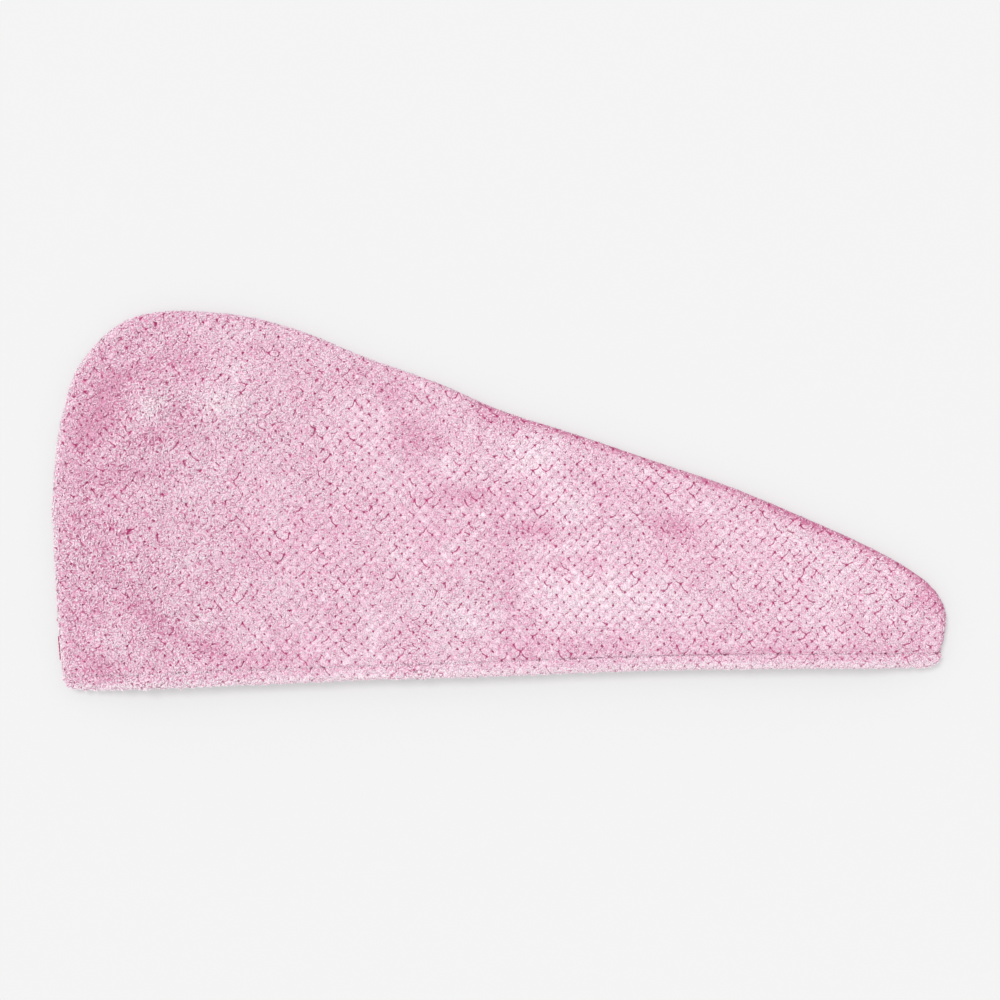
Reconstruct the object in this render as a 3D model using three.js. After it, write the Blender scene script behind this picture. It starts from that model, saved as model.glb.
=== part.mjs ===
// A hair turban towel that lies flat. Two panels of thick pile cloth, cut alike, are sewn together
// round the back of the head, the crown, the long slope and the tail. The straight side is left
// open for the head and is hemmed. A button for closing it sits under the nape corner.
// +X runs from the head end to the tail, +Y from the open side to the crown and +Z up from the
// surface that the towel lies on. The origin is on that surface, under the middle. Millimetres.
import * as THREE from "three";

// Overall size
const towelLength = 650;
const towelWidth = 277;

// Cloth and seams
const clothThickness = 3;
const pressedThickness = 1.1;
const sewnClearance = 0.3;
const allowanceThickness = 2.4;
const allowanceWidth = 7;
const edgeRoll = 5;

// The hollow between the panels, where the head and hair go
const hollowHeight = 9.6;
const hollowRise = 62;

// The hem round the open side
const hemWidth = 10;
const hemCornerLength = 16;
const hemCornerRise = 7.5;
const hemEndTaper = 0.4;
const stitchGroove = 0.9;
const stitchGrooveWidth = 3;

// Soft dents and rises of the upper panel
const dentDepth = 3.2;
const dentEdgeFade = 20;
const dentMouthFade = 16;

// The button under the nape corner, on the outside of the lower panel
const buttonDiameter = 20;
const buttonThickness = 2.4;
const buttonRim = 1.6;
const buttonDish = 0.5;
const buttonFromSide = 38;
const buttonFromMouth = 37;
const shankDiameter = 5;
const shankHeight = 0.3;
const buttonSkirt = 12;

// How finely the solids are faceted
const upperMesh = { columns: 68, rows: 16 };
const lowerMesh = { columns: 68, rows: 9 };
const rollSteps = 3;
const hemStations = 40;
const hemSides = 10;
const buttonSides = 28;

// The sewn edge from the nape corner round the crown to the tail, as shares of the towel's length
// and width. Its two ends lie on the hem, so their height is worked out from the hem.
const sewnEdgeTable = [
  { place: "nape corner", along: 0.0095, across: null },
  { place: "nape", along: 0.0045, across: 0.19 },
  { place: "back", along: 0, across: 0.43 },
  { place: "back of crown", along: 0.0065, across: 0.66 },
  { place: "crown turn", along: 0.0215, across: 0.823 },
  { place: "crown turn", along: 0.046, across: 0.909 },
  { place: "crown turn", along: 0.08, across: 0.974 },
  { place: "crown top", along: 0.122, across: 0.997 },
  { place: "crown top", along: 0.172, across: 0.996 },
  { place: "brow", along: 0.222, across: 0.981 },
  { place: "brow", along: 0.278, across: 0.944 },
  { place: "slope", along: 0.35, across: 0.876 },
  { place: "slope", along: 0.43, across: 0.809 },
  { place: "slope", along: 0.5, across: 0.738 },
  { place: "slope", along: 0.58, across: 0.678 },
  { place: "slope", along: 0.668, across: 0.608 },
  { place: "slope", along: 0.757, across: 0.537 },
  { place: "slope", along: 0.836, across: 0.46 },
  { place: "tail", along: 0.904, across: 0.389 },
  { place: "tail", along: 0.954, across: 0.326 },
  { place: "tail turn", along: 0.984, across: 0.272 },
  { place: "tail turn", along: 0.997, across: 0.225 },
  { place: "tail turn", along: 1, across: 0.175 },
  { place: "tail corner", along: 0.993, across: null },
];

// The open side's outer edge, as shares of the towel's length and width.
const mouthEdgeTable = [
  { along: 0, across: 0 },
  { along: 0.097, across: 0.005 },
  { along: 0.207, across: 0.016 },
  { along: 0.341, across: 0.029 },
  { along: 0.475, across: 0.038 },
  { along: 0.61, across: 0.05 },
  { along: 0.722, across: 0.058 },
  { along: 0.878, across: 0.06 },
  { along: 1, across: 0.06 },
];

// Dents and rises of the upper panel. The centre is a share of the length and of the width. The
// half sizes are shares of the length, turn is in degrees from +X, and rise is a share of dentDepth.
const dentTable = [
  { place: "behind crown seam", along: 0.055, across: 0.745, long: 0.075, wide: 0.022, turn: 66, rise: -0.85 },
  { place: "crown rise", along: 0.2, across: 0.8, long: 0.05, wide: 0.028, turn: -18, rise: 0.95 },
  { place: "crown hollow", along: 0.132, across: 0.705, long: 0.034, wide: 0.02, turn: 35, rise: -0.7 },
  { place: "crown top rise", along: 0.212, across: 0.925, long: 0.06, wide: 0.02, turn: -8, rise: 0.45 },
  { place: "nape fold", along: 0.1, across: 0.56, long: 0.075, wide: 0.017, turn: 10, rise: -0.75 },
  { place: "nape side hollow", along: 0.034, across: 0.44, long: 0.03, wide: 0.018, turn: 80, rise: -0.8 },
  { place: "nape side rise", along: 0.085, across: 0.36, long: 0.03, wide: 0.022, turn: 80, rise: 0.5 },
  { place: "corner fold", along: 0.15, across: 0.155, long: 0.082, wide: 0.018, turn: -30, rise: -1 },
  { place: "hem hollow", along: 0.27, across: 0.1, long: 0.07, wide: 0.017, turn: -3, rise: -0.7 },
  { place: "middle rise", along: 0.27, across: 0.33, long: 0.11, wide: 0.055, turn: -20, rise: 0.75 },
  { place: "middle hollow", along: 0.32, across: 0.52, long: 0.09, wide: 0.02, turn: 6, rise: -0.4 },
  { place: "slope hollow", along: 0.405, across: 0.69, long: 0.05, wide: 0.019, turn: -70, rise: -0.85 },
  { place: "slope rise", along: 0.48, across: 0.66, long: 0.035, wide: 0.022, turn: -40, rise: 0.6 },
  { place: "cross fold", along: 0.455, across: 0.5, long: 0.055, wide: 0.016, turn: 6, rise: -0.6 },
  { place: "bright rise", along: 0.555, across: 0.53, long: 0.055, wide: 0.026, turn: -50, rise: 0.95 },
  { place: "cross hollow", along: 0.525, across: 0.425, long: 0.032, wide: 0.016, turn: 14, rise: -0.8 },
  { place: "upright fold", along: 0.508, across: 0.24, long: 0.045, wide: 0.016, turn: 88, rise: -0.6 },
  { place: "lower rise", along: 0.61, across: 0.26, long: 0.085, wide: 0.032, turn: 0, rise: 0.7 },
  { place: "tail hollow", along: 0.685, across: 0.44, long: 0.045, wide: 0.018, turn: -32, rise: -0.85 },
  { place: "tail rise", along: 0.8, across: 0.34, long: 0.07, wide: 0.026, turn: -24, rise: 0.55 },
];

// Shares that place the grid of a panel along the open side, clear of its two corners
const mouthStart = 0.06;
const mouthEnd = 0.03;
const mouthFollow = 0.65;

// Levels that follow from the sizes above
const rimGap = allowanceThickness + 2 * sewnClearance;
const hemFold = (rimGap - sewnClearance) / 2;
const seamLevel = clothThickness + sewnClearance / 2;
const hemCut = hemWidth + sewnClearance;
const buttonStack = buttonThickness + shankHeight + sewnClearance;

const smooth = (share) => THREE.MathUtils.smoothstep(share, 0, 1);

// A height that a curve through a table of shares has at a length x.
function mouthEdgeY(x) {
  const share = THREE.MathUtils.clamp(x / towelLength + 0.5, 0, 1);
  let row = 0;
  while (row < mouthEdgeTable.length - 2 && mouthEdgeTable[row + 1].along < share) row += 1;
  const before = mouthEdgeTable[row];
  const after = mouthEdgeTable[row + 1];
  const part = (share - before.along) / (after.along - before.along);
  return (THREE.MathUtils.lerp(before.across, after.across, part) - 0.5) * towelWidth;
}

const cutLineY = (x) => mouthEdgeY(x) + hemCut;

// The sewn edge as a smooth curve through its table.
const sewnEdge = new THREE.CatmullRomCurve3(
  sewnEdgeTable.map(({ along, across }) => {
    const x = (along - 0.5) * towelLength;
    const y = across === null ? cutLineY(x) : (across - 0.5) * towelWidth;
    return new THREE.Vector3(x, y, 0);
  }),
  false,
  "centripetal",
);
const edgeTrace = sewnEdge.getSpacedPoints(240);

// How far a point is from the sewn edge.
function fromSewnEdge(x, y) {
  const point = new THREE.Vector3(x, y, 0);
  const nearest = new THREE.Vector3();
  const piece = new THREE.Line3();
  let least = Infinity;
  for (let i = 1; i < edgeTrace.length; i += 1) {
    piece.set(edgeTrace[i - 1], edgeTrace[i]).closestPointToPoint(point, true, nearest);
    least = Math.min(least, nearest.distanceTo(point));
  }
  return least;
}

// The button's place, measured from the side and from the open edge at the nape corner.
const buttonX = -towelLength / 2 + buttonFromSide;
const buttonY = mouthEdgeY(buttonX) + buttonFromMouth;

// How far a point of the lower panel lies on the button: 1 on it and 0 where the cloth is flat.
function onButton(x, y) {
  const away = Math.hypot(x - buttonX, y - buttonY) - buttonDiameter / 2;
  return 1 - smooth((away - sewnClearance) / buttonSkirt);
}

// The dents and rises of the upper panel at a point.
function dents(x, y, inset) {
  let height = 0;
  for (const { along, across, long, wide, turn, rise } of dentTable) {
    const angle = THREE.MathUtils.degToRad(turn);
    const dx = x - (along - 0.5) * towelLength;
    const dy = y - (across - 0.5) * towelWidth;
    const lengthwise = (dx * Math.cos(angle) + dy * Math.sin(angle)) / (long * towelLength);
    const crosswise = (dy * Math.cos(angle) - dx * Math.sin(angle)) / (wide * towelLength);
    height += rise * dentDepth * Math.exp(-(lengthwise ** 2) - crosswise ** 2);
  }
  const edgeFade = smooth((inset - edgeRoll - allowanceWidth) / dentEdgeFade);
  const mouthFade = smooth((y - cutLineY(x)) / dentMouthFade);
  return height * edgeFade * mouthFade;
}

// The stitched groove beside the hem.
function groove(x, y) {
  return stitchGroove * (1 - smooth((y - cutLineY(x)) / stitchGrooveWidth));
}

// Heights of the four faces of the two panels at a point. The cloth is pressed thin on the button.
const lowerOutside = (x, y) => buttonStack * onButton(x, y);
const lowerInside = (x, y) =>
  lowerOutside(x, y) + THREE.MathUtils.lerp(clothThickness, pressedThickness, onButton(x, y));
function upperInside(x, y, inset = fromSewnEdge(x, y)) {
  const risen = smooth((inset - edgeRoll) / hollowRise);
  const gap = rimGap + (hollowHeight - rimGap) * risen;
  return lowerInside(x, y) + gap + dents(x, y, inset);
}
const upperOutside = (x, y, inset) => upperInside(x, y, inset) + clothThickness;

// The columns of a panel's grid: each runs from the sewn edge inwards to the open side.
function panelColumns(count) {
  const edge = sewnEdge.getSpacedPoints(count);
  const first = edge[0];
  const last = edge[count];
  return edge.map((point, i) => {
    const share = i / count;
    const tangent = sewnEdge.getTangentAt(share);
    const inward = new THREE.Vector3(tangent.y, -tangent.x, 0).normalize();
    const across = (point.x - first.x) / (last.x - first.x);
    const follow = THREE.MathUtils.lerp(share, across, mouthFollow);
    const mouthShare = mouthStart + (1 - mouthStart - mouthEnd) * follow;
    const mouthX = THREE.MathUtils.lerp(first.x, last.x, mouthShare);
    const mouth = new THREE.Vector3(mouthX, cutLineY(mouthX), 0);
    if (i === 0 || i === count) inward.copy(mouth).sub(point).normalize();
    return { point, inward, mouth };
  });
}

// The places of one column's points past the rolled edge, as points of the plan.
function columnPlan({ point, inward, mouth }, rows) {
  const start = point.clone().addScaledVector(inward, edgeRoll);
  const whole = start.distanceTo(mouth);
  const grooveShare = Math.min(stitchGrooveWidth / whole, 0.5 / rows);
  const places = [];
  for (let row = 1; row <= rows; row += 1) {
    const share = row === rows ? 1 : (row / (rows - 1)) * (1 - grooveShare);
    places.push(start.clone().lerp(mouth, share));
  }
  return places;
}

// A wall between two grids of points that match: its outer face, its inner face and its borders.
function wallGeometry(outer, inner) {
  const columns = outer.length;
  const rows = outer[0].length;
  const positions = [outer, inner].flat(2).flatMap((point) => point.toArray());
  const at = (face, i, k) => (face * columns + i) * rows + k;
  const indices = [];
  const quad = (a, b, c, d) => indices.push(a, b, c, a, c, d);
  for (let i = 0; i < columns - 1; i += 1) {
    for (let k = 0; k < rows - 1; k += 1) {
      quad(at(0, i, k), at(0, i, k + 1), at(0, i + 1, k + 1), at(0, i + 1, k));
      quad(at(1, i, k), at(1, i + 1, k), at(1, i + 1, k + 1), at(1, i, k + 1));
    }
    quad(at(0, i, 0), at(0, i + 1, 0), at(1, i + 1, 0), at(1, i, 0));
    quad(at(0, i + 1, rows - 1), at(0, i, rows - 1), at(1, i, rows - 1), at(1, i + 1, rows - 1));
  }
  for (let k = 0; k < rows - 1; k += 1) {
    quad(at(0, 0, k + 1), at(0, 0, k), at(1, 0, k), at(1, 0, k + 1));
    quad(at(0, columns - 1, k), at(0, columns - 1, k + 1), at(1, columns - 1, k + 1), at(1, columns - 1, k));
  }
  return facingOut(positions, indices);
}

// A tube through rings of points, closed at both ends.
function loftGeometry(rings) {
  const sides = rings[0].length;
  const centres = [rings[0], rings[rings.length - 1]].map((ring) =>
    ring.reduce((sum, point) => sum.add(point), new THREE.Vector3()).divideScalar(sides),
  );
  const positions = [...rings.flat(), ...centres].flatMap((point) => point.toArray());
  const startCentre = rings.length * sides;
  const indices = [];
  for (let k = 0; k < sides; k += 1) {
    const next = (k + 1) % sides;
    for (let i = 0; i < rings.length - 1; i += 1) {
      const a = i * sides + k;
      const b = i * sides + next;
      indices.push(a, b, b + sides, a, b + sides, a + sides);
    }
    const end = (rings.length - 1) * sides;
    indices.push(startCentre, next, k, startCentre + 1, end + k, end + next);
  }
  return facingOut(positions, indices);
}

// An indexed geometry whose faces are turned to point outwards.
function facingOut(positions, indices) {
  const geometry = new THREE.BufferGeometry();
  geometry.setAttribute("position", new THREE.Float32BufferAttribute(positions, 3));
  const corner = (index) => new THREE.Vector3().fromArray(positions, index * 3);
  let volume = 0;
  for (let i = 0; i < indices.length; i += 3) {
    const [a, b, c] = [corner(indices[i]), corner(indices[i + 1]), corner(indices[i + 2])];
    volume += a.dot(b.cross(c)) / 6;
  }
  geometry.setIndex(volume < 0 ? indices.reverse() : indices);
  geometry.computeVertexNormals();
  return geometry;
}

// A panel: side is +1 for the upper one and -1 for the lower one. Its edge rolls from the flat
// towards the other panel and ends in a narrow face beside the seam.
function panelGeometry(side, { columns, rows }, outsideHeight, insideHeight) {
  const seam = seamLevel + (side * sewnClearance) / 2;
  const outer = [];
  const inner = [];
  for (const column of panelColumns(columns)) {
    const { point, inward } = column;
    const foot = point.clone().addScaledVector(inward, edgeRoll);
    const outsideAtFoot = outsideHeight(foot.x, foot.y, edgeRoll);
    const insideAtFoot = insideHeight(foot.x, foot.y, edgeRoll);
    const outerColumn = [];
    const innerColumn = [];
    for (let step = 0; step <= rollSteps; step += 1) {
      const angle = (step / rollSteps) * (Math.PI / 2);
      const run = 1 - Math.cos(angle);
      const rise = Math.sin(angle);
      const outerInset = edgeRoll * run;
      const innerInset = clothThickness + (edgeRoll - clothThickness) * run;
      const outerPoint = point.clone().addScaledVector(inward, outerInset);
      const innerPoint = point.clone().addScaledVector(inward, innerInset);
      outerPoint.z = THREE.MathUtils.lerp(seam, outsideAtFoot, rise);
      innerPoint.z = THREE.MathUtils.lerp(seam, insideAtFoot, rise);
      outerColumn.push(outerPoint);
      innerColumn.push(innerPoint);
    }
    for (const place of columnPlan(column, rows)) {
      const outerPoint = place.clone().setZ(outsideHeight(place.x, place.y));
      const innerPoint = place.clone().setZ(insideHeight(place.x, place.y));
      outerPoint.z -= side > 0 ? groove(place.x, place.y) : 0;
      outerColumn.push(outerPoint);
      innerColumn.push(innerPoint);
    }
    outer.push(outerColumn);
    inner.push(innerColumn);
  }
  return wallGeometry(outer, inner);
}

// The overlocked allowance inside the sewn edge, which both panels are stitched to.
function edgeSeamGeometry() {
  const top = [];
  const bottom = [];
  for (const { point, inward } of panelColumns(upperMesh.columns)) {
    const places = [edgeRoll, edgeRoll + allowanceWidth].map((inset) =>
      point.clone().addScaledVector(inward, inset),
    );
    const floor = (place) => lowerInside(place.x, place.y) + sewnClearance;
    bottom.push(places.map((place) => place.clone().setZ(floor(place))));
    top.push(places.map((place) => place.clone().setZ(floor(place) + allowanceThickness)));
  }
  return wallGeometry(top, bottom);
}

// A hem: a puffy band along the open side, where the cloth is turned in. Its corners are rounded.
function hemGeometry(bottomHeight, topHeight) {
  const first = edgeTrace[0].x;
  const last = edgeTrace[edgeTrace.length - 1].x;
  const rings = [];
  for (let station = 0; station <= hemStations; station += 1) {
    const x = THREE.MathUtils.lerp(first, last, smoothEnds(station / hemStations));
    const toEnd = Math.min(x - first, last - x);
    const turned = 1 - Math.min(1, toEnd / hemCornerLength);
    const rounding = hemCornerRise * (1 - Math.sqrt(1 - turned ** 2));
    const fullness = 1 - (hemEndTaper * rounding) / hemCornerRise;
    const outerY = mouthEdgeY(x) + rounding;
    const innerY = mouthEdgeY(x) + hemWidth;
    const bottom = bottomHeight(x, cutLineY(x));
    const top = topHeight(x, cutLineY(x));
    const middle = new THREE.Vector3(x, (outerY + innerY) / 2, (bottom + top) / 2);
    const ring = [];
    for (let side = 0; side < hemSides; side += 1) {
      const angle = (side + 0.5) * ((2 * Math.PI) / hemSides);
      const y = (puffed(Math.cos(angle)) * (innerY - outerY)) / 2;
      const z = (puffed(Math.sin(angle)) * (top - bottom) * fullness) / 2;
      ring.push(middle.clone().add(new THREE.Vector3(0, y, z)));
    }
    rings.push(ring);
  }
  return loftGeometry(rings);
}

// Squares off a circle's cosine or sine a little, and reaches 1 at the flats of a many-sided ring.
function puffed(value) {
  const widest = Math.cos(Math.PI / hemSides);
  return Math.sign(value) * Math.min(1, (Math.abs(value) / widest) ** 0.75);
}

// Spaces the hem's stations closer together towards its two ends.
function smoothEnds(share) {
  return THREE.MathUtils.lerp(share, (1 - Math.cos(Math.PI * share)) / 2, 0.75);
}

// The button: a round disc with a raised rim under the cloth, and the stem it is sewn on by.
function buttonGeometry() {
  const radius = buttonDiameter / 2;
  const profile = [
    new THREE.Vector2(0, buttonDish),
    new THREE.Vector2(radius - 2 * buttonRim, buttonDish),
    new THREE.Vector2(radius - buttonRim, 0),
    new THREE.Vector2(radius - buttonRim / 3, 0),
    new THREE.Vector2(radius, buttonThickness / 4),
    new THREE.Vector2(radius, (buttonThickness * 3) / 4),
    new THREE.Vector2(radius - buttonRim / 2, buttonThickness),
    new THREE.Vector2(shankDiameter / 2, buttonThickness),
    new THREE.Vector2(shankDiameter / 2, buttonThickness + shankHeight),
    new THREE.Vector2(0, buttonThickness + shankHeight),
  ];
  const geometry = new THREE.LatheGeometry(profile, buttonSides);
  return geometry.rotateX(Math.PI / 2).translate(buttonX, buttonY, 0);
}

// Materials
const pileCloth = new THREE.MeshStandardMaterial({ color: 0xe4bbce, roughness: 0.95, metalness: 0 });
const clothReverse = new THREE.MeshStandardMaterial({ color: 0xd9a9c0, roughness: 0.95, metalness: 0 });
const buttonPlastic = new THREE.MeshStandardMaterial({ color: 0xd98fb0, roughness: 0.35, metalness: 0 });

function piece(name, geometry, material) {
  const mesh = new THREE.Mesh(geometry, material);
  mesh.name = name;
  return mesh;
}

const towel = new THREE.Group();
towel.add(
  piece("upper_panel", panelGeometry(1, upperMesh, upperOutside, upperInside), pileCloth),
  piece("lower_panel", panelGeometry(-1, lowerMesh, lowerOutside, lowerInside), pileCloth),
  piece("edge_seam", edgeSeamGeometry(), clothReverse),
  piece("upper_hem", hemGeometry((x, y) => upperInside(x, y) - hemFold, upperOutside), pileCloth),
  piece("lower_hem", hemGeometry(lowerOutside, (x, y) => lowerInside(x, y) + hemFold), pileCloth),
  piece("button", buttonGeometry(), buttonPlastic),
);

export default towel;
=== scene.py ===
# %% [markdown]
# # A hair turban towel, lying flat
# Two panels of soft pile cloth are sewn together round the back of the head, over the crown and down a
# long slope that ends in a tail. The straight side is open for the head and has a turned and stitched
# hem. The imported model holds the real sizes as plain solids. This lesson dresses each of those solids as
# knitted cloth, without moving them.

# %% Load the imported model
import math

import bmesh
import bpy
import numpy as np
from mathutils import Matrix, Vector
from mathutils.bvhtree import BVHTree
from mathutils.geometry import delaunay_2d_cdt


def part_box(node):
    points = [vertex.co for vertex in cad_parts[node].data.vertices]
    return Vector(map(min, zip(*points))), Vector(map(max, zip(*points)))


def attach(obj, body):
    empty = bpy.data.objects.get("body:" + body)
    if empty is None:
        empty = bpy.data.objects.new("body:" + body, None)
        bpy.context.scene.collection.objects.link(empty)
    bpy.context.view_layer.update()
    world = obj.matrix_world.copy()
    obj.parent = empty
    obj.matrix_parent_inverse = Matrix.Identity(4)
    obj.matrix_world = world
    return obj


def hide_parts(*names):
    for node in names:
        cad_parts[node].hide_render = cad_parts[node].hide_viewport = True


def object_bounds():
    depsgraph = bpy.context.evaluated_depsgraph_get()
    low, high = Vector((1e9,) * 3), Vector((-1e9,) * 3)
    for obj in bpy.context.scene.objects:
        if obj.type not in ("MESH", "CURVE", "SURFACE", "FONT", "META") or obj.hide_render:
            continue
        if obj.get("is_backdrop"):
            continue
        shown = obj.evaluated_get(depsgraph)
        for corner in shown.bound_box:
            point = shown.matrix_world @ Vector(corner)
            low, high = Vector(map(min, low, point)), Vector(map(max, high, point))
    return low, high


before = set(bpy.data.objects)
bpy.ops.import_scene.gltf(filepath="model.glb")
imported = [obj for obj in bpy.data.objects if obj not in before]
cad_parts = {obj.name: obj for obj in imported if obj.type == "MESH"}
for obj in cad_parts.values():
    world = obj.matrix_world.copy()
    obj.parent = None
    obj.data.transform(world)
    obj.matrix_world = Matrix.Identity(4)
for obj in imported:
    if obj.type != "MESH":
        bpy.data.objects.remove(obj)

MM = 0.001
cad_low, cad_high = (list(corner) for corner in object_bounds())
print("model", [round((b - a) / MM, 1) for a, b in zip(cad_low, cad_high)], "mm")

# %% [markdown]
# ## Sizes
# The level where the panels meet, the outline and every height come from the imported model, so the cloth
# stays where the solids are. The knit's pitch was counted on the photographed cloth: its small diamonds
# repeat about every 9 mm along and across. Blender works in metres, so a millimetre is a named factor.

# %% Sizes of the towel and of its knit
UPPER_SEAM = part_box("upper_panel")[0][2]
LOWER_SEAM = UPPER_SEAM - 0.3 * MM
LENGTH = cad_high[0] - cad_low[0]
WIDTH = cad_high[1] - cad_low[1]
EDGE_ROLL = 5 * MM
CLOTH = 3 * MM

KNIT_ALONG = 9.1 * MM
KNIT_ACROSS = 9.4 * MM
PUFF_HEIGHT = 1.4 * MM

UPPER_SEED = 1
LOWER_SEED = 301

PILE_OVERHANG = 0.7 * MM
BACK_FULL = 1.3 * MM
MORE_BACK = 1.4 * MM
BACK_RISE = (-24 * MM, -12 * MM)
BACK_FALL = (52 * MM, 72 * MM)
PILE_SINK = 0.7 * MM

UPPER_STEP = 1.5 * MM
LOWER_STEP = 2.8 * MM
LINING_STEP = 7 * MM
EDGE_STEP = 1.3 * MM
print("seam at", round(UPPER_SEAM / MM, 2), "mm, towel", round(LENGTH / MM), "by", round(WIDTH / MM), "mm")

# %% [markdown]
# ## Reading the outline from the model
# The narrow face beside the seam faces straight down on the upper panel, and its outer border is the sewn
# edge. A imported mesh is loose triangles, so a copy is welded first. The border edges that look away from
# the towel's middle are then chained from the nape to the tail. The panel's other border, along the open
# side, is a face that looks along -Y.


# %% Read the sewn edge and the open side
def welded(node):
    mesh = bmesh.new()
    mesh.from_mesh(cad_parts[node].data)
    bmesh.ops.remove_doubles(mesh, verts=mesh.verts, dist=0.01 * MM)
    mesh.normal_update()
    return mesh


def read_sewn_edge():
    mesh = welded("upper_panel")
    beside_seam = {
        f for f in mesh.faces if f.normal.z < -0.99 and f.calc_center_median().z < UPPER_SEAM + 0.05 * MM
    }
    neighbours = {}
    for edge in mesh.edges:
        outside = [f for f in edge.link_faces if f not in beside_seam]
        if len(edge.link_faces) - len(outside) != 1 or len(outside) != 1:
            continue
        middle = (edge.verts[0].co + edge.verts[1].co) / 2
        away = outside[0].normal.to_2d().dot(middle.to_2d()) > 0
        if away and outside[0].normal.y > -0.98:
            a, b = (tuple(v.co.to_2d()) for v in edge.verts)
            neighbours.setdefault(a, []).append(b)
            neighbours.setdefault(b, []).append(a)
    mesh.free()
    line = [min(point for point, near in neighbours.items() if len(near) == 1)]
    while True:
        onward = [point for point in neighbours[line[-1]] if point not in line[-2:]]
        if not onward:
            return np.array(line)
        line.append(onward[0])


def read_open_side():
    mesh = welded("upper_panel")
    faces = [f for f in mesh.faces if f.normal.y < -0.98 and abs(f.normal.z) < 0.1]
    points = {tuple(round(c, 6) for c in v.co.to_2d()) for f in faces for v in f.verts}
    mesh.free()
    return np.array(sorted(points))


sewn_corners = read_sewn_edge()
mouth_corners = read_open_side()
print("sewn edge", len(sewn_corners), "corners, open side", len(mouth_corners), "corners")

# %% [markdown]
# ## One smooth outline
# The solids are faceted, so the corners are joined by a smooth curve and spaced out evenly. The open side
# is a gentle line that can be read as a height for each place along the towel. At the back of the head the
# pile stands a little fuller than the cloth's cut edge, so the curve is moved out there. Elsewhere it is
# moved in by as much as the pile stands out past it.


# %% Smooth and space out the outline
CURVE_PARTS = 12
AT_ONCE = 4000


def smooth_curve(corners, step):
    """Points at even steps along a smooth curve that runs through every corner."""
    padded = np.vstack([2 * corners[0] - corners[1], corners, 2 * corners[-1] - corners[-2]])
    share = np.linspace(0, 1, CURVE_PARTS, endpoint=False)[:, None]
    runs = []
    for a, b, c, d in zip(padded, padded[1:], padded[2:], padded[3:]):
        line = 2 * b + (c - a) * share
        runs.append(0.5 * (line + (2 * a - 5 * b + 4 * c - d) * share**2 + (3 * (b - c) + d - a) * share**3))
    fine = np.vstack([*runs, corners[-1]])
    run = np.r_[0, np.cumsum(np.linalg.norm(np.diff(fine, axis=0), axis=1))]
    even = np.linspace(0, run[-1], int(run[-1] / step) + 1)
    return np.column_stack([np.interp(even, run, fine[:, k]) for k in (0, 1)])


def smooth_step(value, low, high):
    share = np.clip((value - low) / (high - low), 0, 1)
    return share * share * (3 - 2 * share)


def mouth_y(x):
    return np.interp(x, mouth_corners[:, 0], mouth_corners[:, 1])


sewn_line = smooth_curve(sewn_corners, EDGE_STEP)
sewn_tangent = np.gradient(sewn_line, axis=0)
sewn_tangent /= np.linalg.norm(sewn_tangent, axis=1)[:, None]
sewn_inward = np.column_stack([sewn_tangent[:, 1], -sewn_tangent[:, 0]])
facing_back = np.clip(sewn_inward[:, 0], 0, 1) ** 2
full_back = smooth_step(sewn_line[:, 1], *BACK_RISE) * (1 - smooth_step(sewn_line[:, 1], *BACK_FALL))
move_in = PILE_OVERHANG - facing_back * (BACK_FULL + MORE_BACK * full_back)
sewn_line[1:-1] += move_in[1:-1, None] * sewn_inward[1:-1]
print("sewn edge", len(sewn_line), "points,", round(EDGE_STEP * (len(sewn_line) - 1), 3), "m long")


def nearest_on_edge(x, y):
    """How far each point lies from the sewn edge, and which point of the edge is nearest."""
    least, index = np.empty(len(x)), np.empty(len(x), int)
    for start in range(0, len(x), AT_ONCE):
        some = slice(start, start + AT_ONCE)
        apart = (x[some, None] - sewn_line[:, 0]) ** 2 + (y[some, None] - sewn_line[:, 1]) ** 2
        index[some] = apart.argmin(axis=1)
        least[some] = np.sqrt(apart.min(axis=1))
    return least, index


def from_sewn_edge(x, y):
    return nearest_on_edge(x, y)[0]


# %% [markdown]
# ## Heights from the model
# A ray dropped on a solid gives its height, but the flat facets would show. The heights are read on a grid,
# blurred, and read back between the grid's points. The blur also carries them on past the rim, where the
# real cloth's own edge is shaped instead.

# %% Read and smooth the faces of the two panels
GRID = 3 * MM
GRID_MARGIN = 12 * MM
BLUR = 6 * MM
WIDE_BLUR = 24 * MM
HEM_KEEP_OFF = 4 * MM
grid_x = np.arange(cad_low[0] - GRID_MARGIN, cad_high[0] + GRID_MARGIN, GRID)
grid_y = np.arange(cad_low[1] - GRID_MARGIN, cad_high[1] + GRID_MARGIN, GRID)


def blurred(values, reach):
    offsets = np.arange(-int(3 * reach / GRID), int(3 * reach / GRID) + 1)
    weights = np.exp(-((offsets * GRID / reach) ** 2))
    for axis in (0, 1):
        padding = [(0, 0), (0, 0)]
        padding[axis] = (len(offsets) // 2,) * 2
        wide = np.pad(values, padding)
        size = values.shape[axis]
        values = sum(w * np.take(wide, range(k, k + size), axis=axis) for k, w in enumerate(weights))
    return values


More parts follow.
